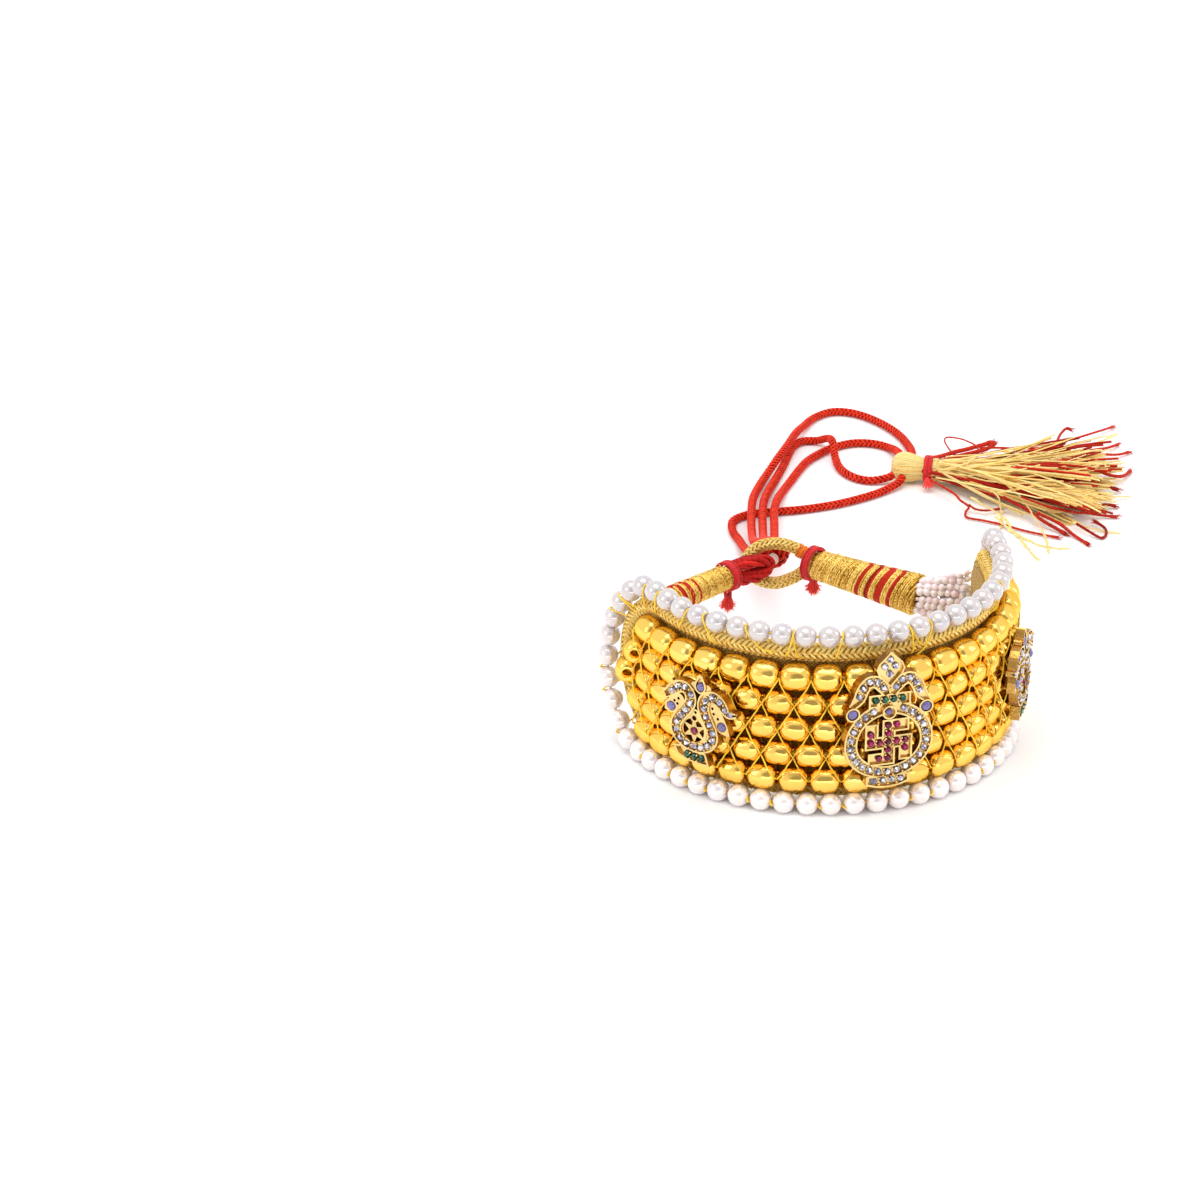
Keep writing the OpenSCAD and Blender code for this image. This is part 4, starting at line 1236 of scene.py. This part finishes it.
class BRACELET_OT_tails(bpy.types.Operator):
    """Tails wound with gold thread, with red stripes"""
    bl_idname = "bracelet.tails"
    bl_label = "Tails"

    def execute(self, context):
        rnd = random.Random(19)
        # Where the stripes lie, as shares of a tail's length, and how far its turns slant
        stripes = {"right": [(0.2, 0.245), (0.302, 0.345), (0.402, 0.445), (0.508, 0.55)],
                   "left": [(0.06, 0.12), (0.2, 0.26), (0.34, 0.39)]}
        slants = {"right": 0.95, "left": 0.35}
        step, gold_r, stripe_r, hair_r, hairs = 0.4, 0.215, 0.25, 0.045, 46
        for key in TAILS:
            a, b, way, across = tail_axes(key)
            length = (b - a).length
            turns = int(length / step)
            gold, red = [], []
            for k in range(turns):
                f0 = (k + 0.5) / turns
                line = []
                lean = rnd.uniform(-0.1, 0.1)
                for j in range(25):
                    q = TAU * j / 24
                    f = f0 + (j / 24 - 0.5) * step / length - slants[key] * math.cos(q + lean) / length
                    f = min(1, max(0, f))
                    r = tail_profile(key, f) - 0.1 + rnd.uniform(-0.03, 0.03)
                    line.append(a + way * length * f + r * around(q, UP, across))
                (red if any(low <= f0 <= high for low, high in stripes[key]) else gold).append(line)
            fuzz = []
            for _ in range(hairs):
                f, q = rnd.uniform(0.03, 0.97), any_turn(rnd)
                out = around(q, UP, across)
                p = a + way * length * f + out * tail_profile(key, f)
                d = (across * math.cos(q) - UP * math.sin(q)) * rnd.choice((-1, 1)) + way * rnd.uniform(-0.8, 0.8)
                fuzz.append([p, p + d * 0.5 + out * 0.12, p + d * 0.9 + out * rnd.uniform(0.15, 0.4)])
            shares = np.linspace(0, 1, 40)
            core = rings_on(np.array([tuple(a + way * length * f) for f in shares]),
                            [tail_profile(key, f) - 0.22 for f in shares], 24, ref=UP)
            winding = threads(gold + fuzz, [gold_r] * len(gold) + [hair_r] * len(fuzz))
            hang(joined([winding, lofted([(core, False, 0.3)])]), f"tail_{key}_winding", "winding",
                 [f"tail_{key}"])
            hang(threads(red, stripe_r), f"tail_{key}_stripes", "red_yarn")
        return {"FINISHED"}


class BRACELET_OT_ties(bpy.types.Operator):
    """Red thread tied round the neck of each tail, with frayed ends"""
    bl_idname = "bracelet.ties"
    bl_label = "Ties"

    def execute(self, context):
        rnd = random.Random(23)
        rounds, strands, hairs = 15, 16, 300
        for key, inner, neck in (("left", 2.05, 1.7), ("right", 2.45, 0.5)):
            _, tip, d, across = tail_axes(key)
            c = tip + d * 0.75
            turns, hanging, ends = [], [], []
            for k in range(rounds):
                off = mix(-0.62, 0.62, k / (rounds - 1)) + rnd.uniform(-0.06, 0.06)
                r = inner + 0.12 + 0.24 * (k % 2) + rnd.uniform(-0.05, 0.08)
                lean = rnd.uniform(-0.2, 0.2)
                turns.append([c + d * (off + lean * math.sin(q)) + r * around(q, UP, across)
                              for q in np.linspace(0, TAU, 33)])
            knot = c - UP * (inner + 0.2)
            for _ in range(strands):
                q, far = any_turn(rnd), 0.6 * math.sqrt(rnd.random())
                sway = around(q, d, across) * far
                hanging.append([knot + sway * k + UP * z for k, z in ((0.8, 0.5), (1.1, -0.5 * neck), (1, -neck))])
            hang(threads(turns + hanging, [0.18] * rounds + [0.17] * strands), f"tie_{key}_thread", "tie",
                 [f"tie_{key}"])
            for _ in range(hairs):
                q, far, drop = any_turn(rnd), math.sqrt(rnd.random()), rnd.uniform(1.4, 2.9)
                sway = around(q, d, across) * far
                ends.append([knot + sway * 0.45 - UP * neck * 0.8, knot + sway * 0.95 - UP * (neck + 0.5 * drop),
                             knot + sway * rnd.uniform(0.9, 1.7) - UP * (neck + drop * (1.1 - 0.45 * far))])
            hang(threads(ends, 0.065, taper=0.5), f"tie_{key}_frayed_ends", "fluff")
        return {"FINISHED"}


class BRACELET_OT_loops(bpy.types.Operator):
    """Braided gold loop of one tail and red thread loop of the other"""
    bl_idname = "bracelet.loops"
    bl_label = "Closure loops"

    def execute(self, context):
        line = evenly(rounded(GOLD_LOOP, steps=10), step=0.2)
        strips = braid(line, radius=0.82, count=8, pitch=6.4, width=0.27, thick=0.16, lift=0.1, seed=31)
        # The core's tone of 0 is painted shade, as it shows only between the strands
        strips.append((rings_on(line, 0.72, 10), False, 0.0))
        hang(lofted(strips), "closure_loop_braid", "zari", ["closure_loop"])

        rnd = random.Random(29)
        core = evenly(rounded(RED_LOOP, steps=10), step=0.2)
        _, n, b = frames(core, ref=(-0.3, 0.95, 0))
        s = running(core)
        slim = np.minimum(1, 0.66 + 0.14 * np.minimum(s, s[-1] - s))
        strips = []
        for k in range(8):
            # Seven yarns wander round the eighth
            far = (0.0 if k == 7 else 0.74) * slim * (1 + 0.2 * np.sin(s * 0.9 + k * 1.7))
            path = core + far[:, None] * wound(k * TAU / 7 + s * 0.3 + 0.35 * np.sin(s * 0.6 + k), n, b)
            ply = np.sin(s * TAU / 0.95 + k)
            # Each yarn's tone is random, with a painted highlight where its ply swells
            strips.append((rings_on(path, (0.42 + 0.03 * ply) * slim, 9), False, rnd.uniform(0.35, 0.8) + 0.06 * ply))
        hang(lofted(strips), "thread_loop_yarns", "loop", ["thread_loop"])

        for name, finish, slot, at, to, r, count in (
                ("loop_binding", "orange", "red_thread", (8.9, 28.5, 16.2), (7.6, 29.4, 17.05), 1.08, 8),
                ("pale_binding", "pale", "yellow_thread", (2.9, 30.5, 15), (3.9, 31.4, 15), 0.85, 9)):
            axis = np.array([at, to], float)
            t, n, b = frames(axis)
            turns = []
            for k in range(count):
                c = mix(*axis, k / (count - 1))
                wide = r + rnd.uniform(-0.04, 0.08)
                turns.append([c + wide * around(q, n[0], b[0]) + t[0] * 0.12 * math.sin(q + k)
                              for q in np.linspace(0, TAU, 25)])
            hang(threads(turns, 0.13), name, finish)
        return {"FINISHED"}


# Single strands that stand out of the tassel's skirt: radius and route, then the yellow routes
RED_YARNS = [
    (0.42, [(55.2, 86.6, 4.2), (58.2, 88.0, 3.8), (61.1, 89.4, 3.6), (64.2, 90.8, 3.2), (67.3, 92.1, 3.0),
            (69.9, 92.8, 3.0)]),
    (0.4, [(55.2, 86.2, 3.4), (58.6, 87.4, 3.2), (61.6, 88.7, 3.0), (64.8, 89.6, 2.9), (68, 90.6, 2.8),
           (70.4, 92.2, 3.1)]),
    (0.16, [(66.4, 90.0, 2.8), (66.2, 91.6, 3.4), (65.9, 93.9, 3.2), (65.2, 96.2, 3), (63.7, 99, 2.4),
            (62.5, 97.4, 2.4), (61.5, 92.9, 2.8), (61.3, 90.2, 2.8)]),
    (0.22, [(66.7, 90.7, 3.2), (71, 90.8, 2.6), (74.2, 90.3, 2.2), (78.3, 89.9, 2), (82.1, 90.8, 2),
            (86.1, 92.2, 1.8), (91.7, 95.1, 1.2), (97.3, 98.3, 0.5)]),
    (0.27, [(80.6, 87.1, 2.4), (82, 89.9, 2.4), (83.7, 93, 2.2), (85.6, 95.6, 2), (87.3, 97.4, 1.8),
            (88, 96.9, 1.6)]),
    (0.22, [(52.9, 80.8, 2.6), (54.9, 74.8, 2.2), (55.4, 72.6, 1.6), (56.3, 70.8, 1), (55.2, 69.6, 0.6),
            (54.7, 67.7, 0.4), (57, 65.5, 0.4), (59.8, 62.4, 0.4), (61.8, 59.6, 0.4), (64, 57.1, 0.4),
            (66.6, 54.6, 0.4)]),
    (0.2, [(56.3, 70.8, 1.4), (57, 69.5, 1), (58.7, 68.7, 0.8), (61.5, 68.6, 0.8)]),
    (0.26, [(71.1, 56.6, 1.6), (72.3, 54.7, 1), (73.4, 52.7, 0.5), (74.1, 51.9, 0.4), (75.4, 53.2, 0.4),
            (76.1, 55.4, 0.6), (75.2, 57.9, 1)]),
    (0.32, [(62.0, 68.6, 3.0), (64.5, 64.2, 2.2), (66.1, 60.2, 1.4), (67.5, 57.7, 0.8), (68.6, 55.6, 0.4)]),
    (0.3, [(66.0, 62.4, 2.0), (68.4, 58, 1.4), (69.5, 54.9, 0.6), (70.1, 52.5, 0.4), (70.6, 50.2, 0.4)]),
    (0.32, [(76.5, 79.2, 3.8), (80.5, 77.9, 3.4), (82.8, 77.4, 3), (83.7, 75.7, 2.6), (86, 74.8, 1.6),
            (88.7, 75.2, 0.9), (91.4, 77.8, 0.5)]),
    (0.26, [(83.0, 83.6, 2.8), (87.1, 85, 2.4), (90.7, 87.2, 1.4), (94.5, 90, 0.5)]),
    (0.24, [(82.0, 82.0, 3.0), (86.3, 83.2, 2.6), (89.3, 84, 1.6), (92.3, 85, 0.8), (95, 86.1, 0.5)]),
    (0.32, [(73.0, 72.6, 3.8), (78.2, 70.9, 3.4), (80.6, 70.6, 2.6), (83.1, 70.5, 1.6), (85.3, 69.9, 0.8)]),
    (0.28, [(69.5, 65.0, 3.2), (74.7, 62.9, 2.6), (78.2, 63.2, 1.6), (80.7, 64.1, 0.9), (82.1, 63.8, 0.5)]),
    (0.26, [(68.0, 63.0, 2.8), (72.1, 60.8, 2), (75.1, 61, 1.3), (77.8, 60.5, 0.7), (80.3, 59.7, 0.4)]),
]
YELLOW_STRAYS = [
    [(60.4, 71.1, 4), (61.4, 69, 2.4), (61.3, 67.6, 1), (59.9, 64.1, 0.3), (57.5, 59.4, 0.3), (55.2, 54.6, 0.3)],
    [(57.0, 71.6, 2.4), (59.7, 64.3, 1.6), (60.2, 60.6, 0.6), (60.1, 55.5, 0.3), (59.7, 50.9, 0.3),
     (59.6, 46.7, 0.3)],
    [(58.9, 79.2, 4.6), (61.8, 75.4, 4.6), (63.4, 71.3, 4.4), (64.4, 67.8, 3.6), (64.9, 63.1, 2.2), (64.8, 58.1, 1),
     (64.2, 54, 0.4), (62.4, 48.9, 0.3)],
    [(58.8, 64.8, 1.2), (59.5, 60.8, 0.6), (60.7, 57, 0.4), (62.2, 52.9, 0.3), (64.5, 50.8, 0.3), (66.7, 49.8, 0.3)],
    [(71.0, 58.0, 1.4), (73.3, 55.9, 0.8), (75.3, 55, 0.4), (78.1, 52.9, 0.3)],
    [(79.5, 85.3, 2.8), (84.6, 86.9, 2.6), (89.2, 89.5, 1.6), (93, 92.2, 0.9), (96.8, 95.2, 0.4)],
    [(66.5, 64.8, 4.0), (70.1, 64, 3.6), (73.2, 63.4, 2.6), (79.1, 65.4, 1.6), (83.1, 66.8, 0.9), (86.7, 67.1, 0.4)],
    [(55.6, 80.6, 4.6), (59.1, 80.8, 4.8), (64, 84.4, 4.6), (68.7, 85.7, 4.2), (73.4, 84.9, 3.8), (78.1, 83.9, 3.4),
     (82, 83.1, 3), (86.9, 84.5, 2.2), (91.7, 86.5, 1.2)],
    [(60.5, 68.2, 4.2), (65.9, 68.4, 4.4), (71, 69.8, 4), (77, 73.9, 3.6), (81.3, 76, 3), (85.7, 78.1, 2)],
]


def skirt_lock(rnd, side, lift, length, count, begin=0.0, bend=0.12):
    """A lock of the skirt's threads: side turns it, lift raises its tip; the threads part towards their ends."""
    turn, roll, wave = any_turn(rnd), any_turn(rnd), rnd.uniform(1.5, 4.0)
    from_y, from_z = (2.1 * math.sin(turn) * rnd.random() ** 0.3, 2.1 * math.cos(turn) * rnd.random() ** 0.3)
    curl, swerve = rnd.uniform(0.2, 1.6), rnd.uniform(-bend, bend)
    lines = []
    for _ in range(count):
        reach = rnd.uniform(0.86, 1.0) * length
        q, far, sway = any_turn(rnd), rnd.random() ** 0.5, rnd.uniform(0.0, 0.35)
        line = []
        for k in range(13):
            t = mix(begin, 1, k / 12)
            apart = far * (0.16 + 0.5 * t ** 2)
            aim = max(-SKIRT_SPREAD, min(SKIRT_SPREAD, side + swerve * (2 * t - 1)))
            y = (reach * math.sin(aim) * t ** 1.1 + from_y * (1 - t) + curl * math.sin(wave * t + roll) * t
                 + apart * math.cos(q) + sway * math.sin(5 * t + q) * t)
            z = (lift * t ** 1.1 + from_z * (1 - t) ** 1.5 + 0.4 * curl * math.sin(wave * 1.3 * t + turn) * t
                 + apart * math.sin(q) * 0.8)
            p = TASSEL @ Vector((mix(3.6, reach * math.cos(side), t), y, z))
            p.z = max(p.z, 0.16)
            line.append(tuple(p))
        lines.append(line)
    return lines


class BRACELET_OT_tassel(bpy.types.Operator):
    """Tassel: folded thread head, red wrap and a skirt of yellow and red threads"""
    bl_idname = "bracelet.tassel"
    bl_label = "Tassel"

    def execute(self, context):
        rnd = random.Random(37)
        # The head's radius at places along its axis
        profile = rounded([(-2.2, 0.0, 0), (-2.0, 1.3, 0), (-1.3, 2.25, 0), (-0.2, 2.65, 0), (1.0, 2.55, 0),
                           (2.2, 2.25, 0), (3.2, 1.95, 0), (4.4, 1.85, 0), (6.2, 2.0, 0)], 4)
        lines, strands, rounds, hairs = [], 66, 11, 60
        for k in range(strands):
            q, skew = TAU * k / strands + rnd.uniform(-0.03, 0.03), rnd.uniform(-0.1, 0.1)
            line = []
            for x, r, _ in profile:
                turn = q + skew * (x + 2.6) / 6
                line.append(TASSEL @ Vector((x, (r + rnd.uniform(-0.02, 0.02)) * math.cos(turn), r * math.sin(turn))))
            lines.append(line)
        core = rings_on(np.array([tuple(TASSEL @ Vector((x, 0, 0))) for x, _, _ in profile[1:]]),
                        [max(0.1, r - 0.08) for _, r, _ in profile[1:]], 24, ref=UP)
        hang(joined([threads(lines, 0.15), lofted([(core, False, 0.5)])]), "tassel_head_threads", "silk",
             ["tassel"])

        turns = []
        for k in range(rounds):
            x, r = 3.8 + 0.15 + 1.25 * k / (rounds - 1), 2.28 + 0.14 * (k % 2)
            turns.append([TASSEL @ Vector((x + rnd.uniform(-0.05, 0.05), r * math.cos(q), r * math.sin(q)))
                          for q in np.linspace(0, TAU, 33)])
        knot = TASSEL @ Vector((4.6, -2.3, -0.6))
        tuft = []
        for _ in range(hairs):
            q, far = any_turn(rnd), rnd.random() ** 0.5
            tuft.append([knot, knot + Vector((0.7 * far * math.cos(q) - 0.3, -1.1 - 0.5 * far * math.sin(q), -0.4)),
                         knot + Vector((1.2 * far * math.cos(q) - 0.5, -2.1 - 0.9 * far * math.sin(q), -1.1))])
        hang(threads(tuft, 0.07, taper=0.6), "tassel_wrap_ends", "fluff")
        hang(threads(turns, 0.17), "tassel_wrap_thread", "tie", ["tassel_wrap"])

        locks = context.scene.bracelet_sizes.skirt_locks
        yellow, red = [], []
        for k in range(locks):
            layer = rnd.random()
            wide = math.radians(30) * (1 - 0.3 * layer)
            side = wide * (2 * (k + rnd.random()) / locks - 1) - math.radians(1.5)
            lift = mix(-2.5, 3.4, layer ** 1.1) - abs(side) / math.radians(22) * 1.6 * layer
            # The middle of the skirt is full to its end
            least = 36.0 if abs(side + 0.07) < 0.23 else 30.0
            yellow += skirt_lock(rnd, side, lift, rnd.uniform(least, 41.5) - 1.2 * layer, rnd.randint(7, 12))
        for _ in range(44):
            # Single threads that lie across the others
            side = math.radians(rnd.uniform(-31, 26))
            yellow += skirt_lock(rnd, side, rnd.uniform(2.4, 4.4) - abs(side) * 3, rnd.uniform(26, 41), 1, 0.12, 0.38)
        # Red locks along the far side, deep in the skirt, and on top of its outer half
        for _ in range(6):
            red += skirt_lock(rnd, math.radians(rnd.uniform(21, 29)), rnd.uniform(1.0, 2.4), rnd.uniform(28, 40), 3)
        for _ in range(17):
            side = math.radians(rnd.uniform(-25, 25))
            red += skirt_lock(rnd, side, rnd.uniform(-2.4, 2.2) - abs(side) * 2, rnd.uniform(33, 41),
                              rnd.randint(2, 4))
        for _ in range(15):
            side = math.radians(rnd.uniform(-25, 24))
            red += skirt_lock(rnd, side, rnd.uniform(1.8, 3.9) - abs(side) * 3, rnd.uniform(34, 41),
                              rnd.randint(1, 3), rnd.uniform(0.5, 0.75), 0.3)
        for route in [route for route in YELLOW_STRAYS for _ in range(2)]:
            yellow.append([tuple(c + rnd.uniform(-0.25, 0.25) * (k > 0) for c in p[:2]) + (p[2],)
                           for k, p in enumerate(rounded(route, 5))])
        hang(threads(yellow, [rnd.uniform(0.11, 0.19) for _ in yellow], taper=0.8), "tassel_skirt_yellow", "silk")
        strips = []
        for line in red:
            path = evenly(np.array(line), 1.0)
            strips.append((rings_on(path, rnd.uniform(0.17, 0.26), 6), False, rnd.uniform(0.25, 0.75)))
        for r, route in RED_YARNS:
            path = evenly(rounded(route, steps=6), step=0.4)
            s = running(path)
            ply = np.sin(s * TAU / 1.1)
            strips.append((rings_on(path, r * (1 + 0.08 * ply + 0.25 * (s > s[-1] - 0.9)), 8), False,
                           0.45 + 0.2 * ply))
        hang(lofted(strips), "tassel_skirt_red", "red_yarn")
        ends = []
        for r, route in RED_YARNS:
            tip, before = Vector(route[-1]), Vector(route[-2])
            way = (tip - before).normalized()
            for _ in range(14):
                off = Vector([rnd.uniform(-1, 1) for _ in range(3)])
                far = tip + way * rnd.uniform(0.2, 0.8) + off * (0.3 + r)
                far.z = max(far.z, 0.12)
                ends.append([tip - way * 0.3 + off * 0.1, far])
        hang(threads(ends, 0.06, taper=0.5), "tassel_frayed_ends", "red_yarn")
        return {"FINISHED"}


OPERATORS = (BRACELET_OT_stage, BRACELET_OT_drawcords, BRACELET_OT_cord_hitch, BRACELET_OT_beads, BRACELET_OT_pearls,
             BRACELET_OT_cloth, BRACELET_OT_piping, BRACELET_OT_lattice, BRACELET_OT_plaques, BRACELET_OT_stones,
             BRACELET_OT_seed_strands, BRACELET_OT_tails, BRACELET_OT_ties, BRACELET_OT_loops, BRACELET_OT_tassel)


class BRACELET_PT_panel(bpy.types.Panel):
    """Pieces of the bracelet"""
    bl_idname = "BRACELET_PT_panel"
    bl_label = "Pochi Bracelet"
    bl_space_type = "VIEW_3D"
    bl_region_type = "UI"
    bl_category = "Bracelet"

    def draw(self, context):
        for key in BraceletSizes.__annotations__:
            self.layout.prop(context.scene.bracelet_sizes, key)
        for key in BraceletColours.__annotations__:
            self.layout.prop(context.scene.bracelet_colours, key)
        for op in OPERATORS:
            self.layout.operator(op.bl_idname)


CLASSES = (BraceletSizes, BraceletColours, *OPERATORS, BRACELET_PT_panel)


def register():
    for c in CLASSES:
        bpy.utils.register_class(c)
    bpy.types.Scene.bracelet_sizes = bpy.props.PointerProperty(type=BraceletSizes)
    bpy.types.Scene.bracelet_colours = bpy.props.PointerProperty(type=BraceletColours)


def unregister():
    del bpy.types.Scene.bracelet_colours
    del bpy.types.Scene.bracelet_sizes
    for c in reversed(CLASSES):
        bpy.utils.unregister_class(c)


def main():
    register()
    for op in OPERATORS:
        group, name = op.bl_idname.split(".")
        getattr(getattr(bpy.ops, group), name)()
    start()
    bpy.context.view_layer.update()


if __name__ == "__main__":
    main()
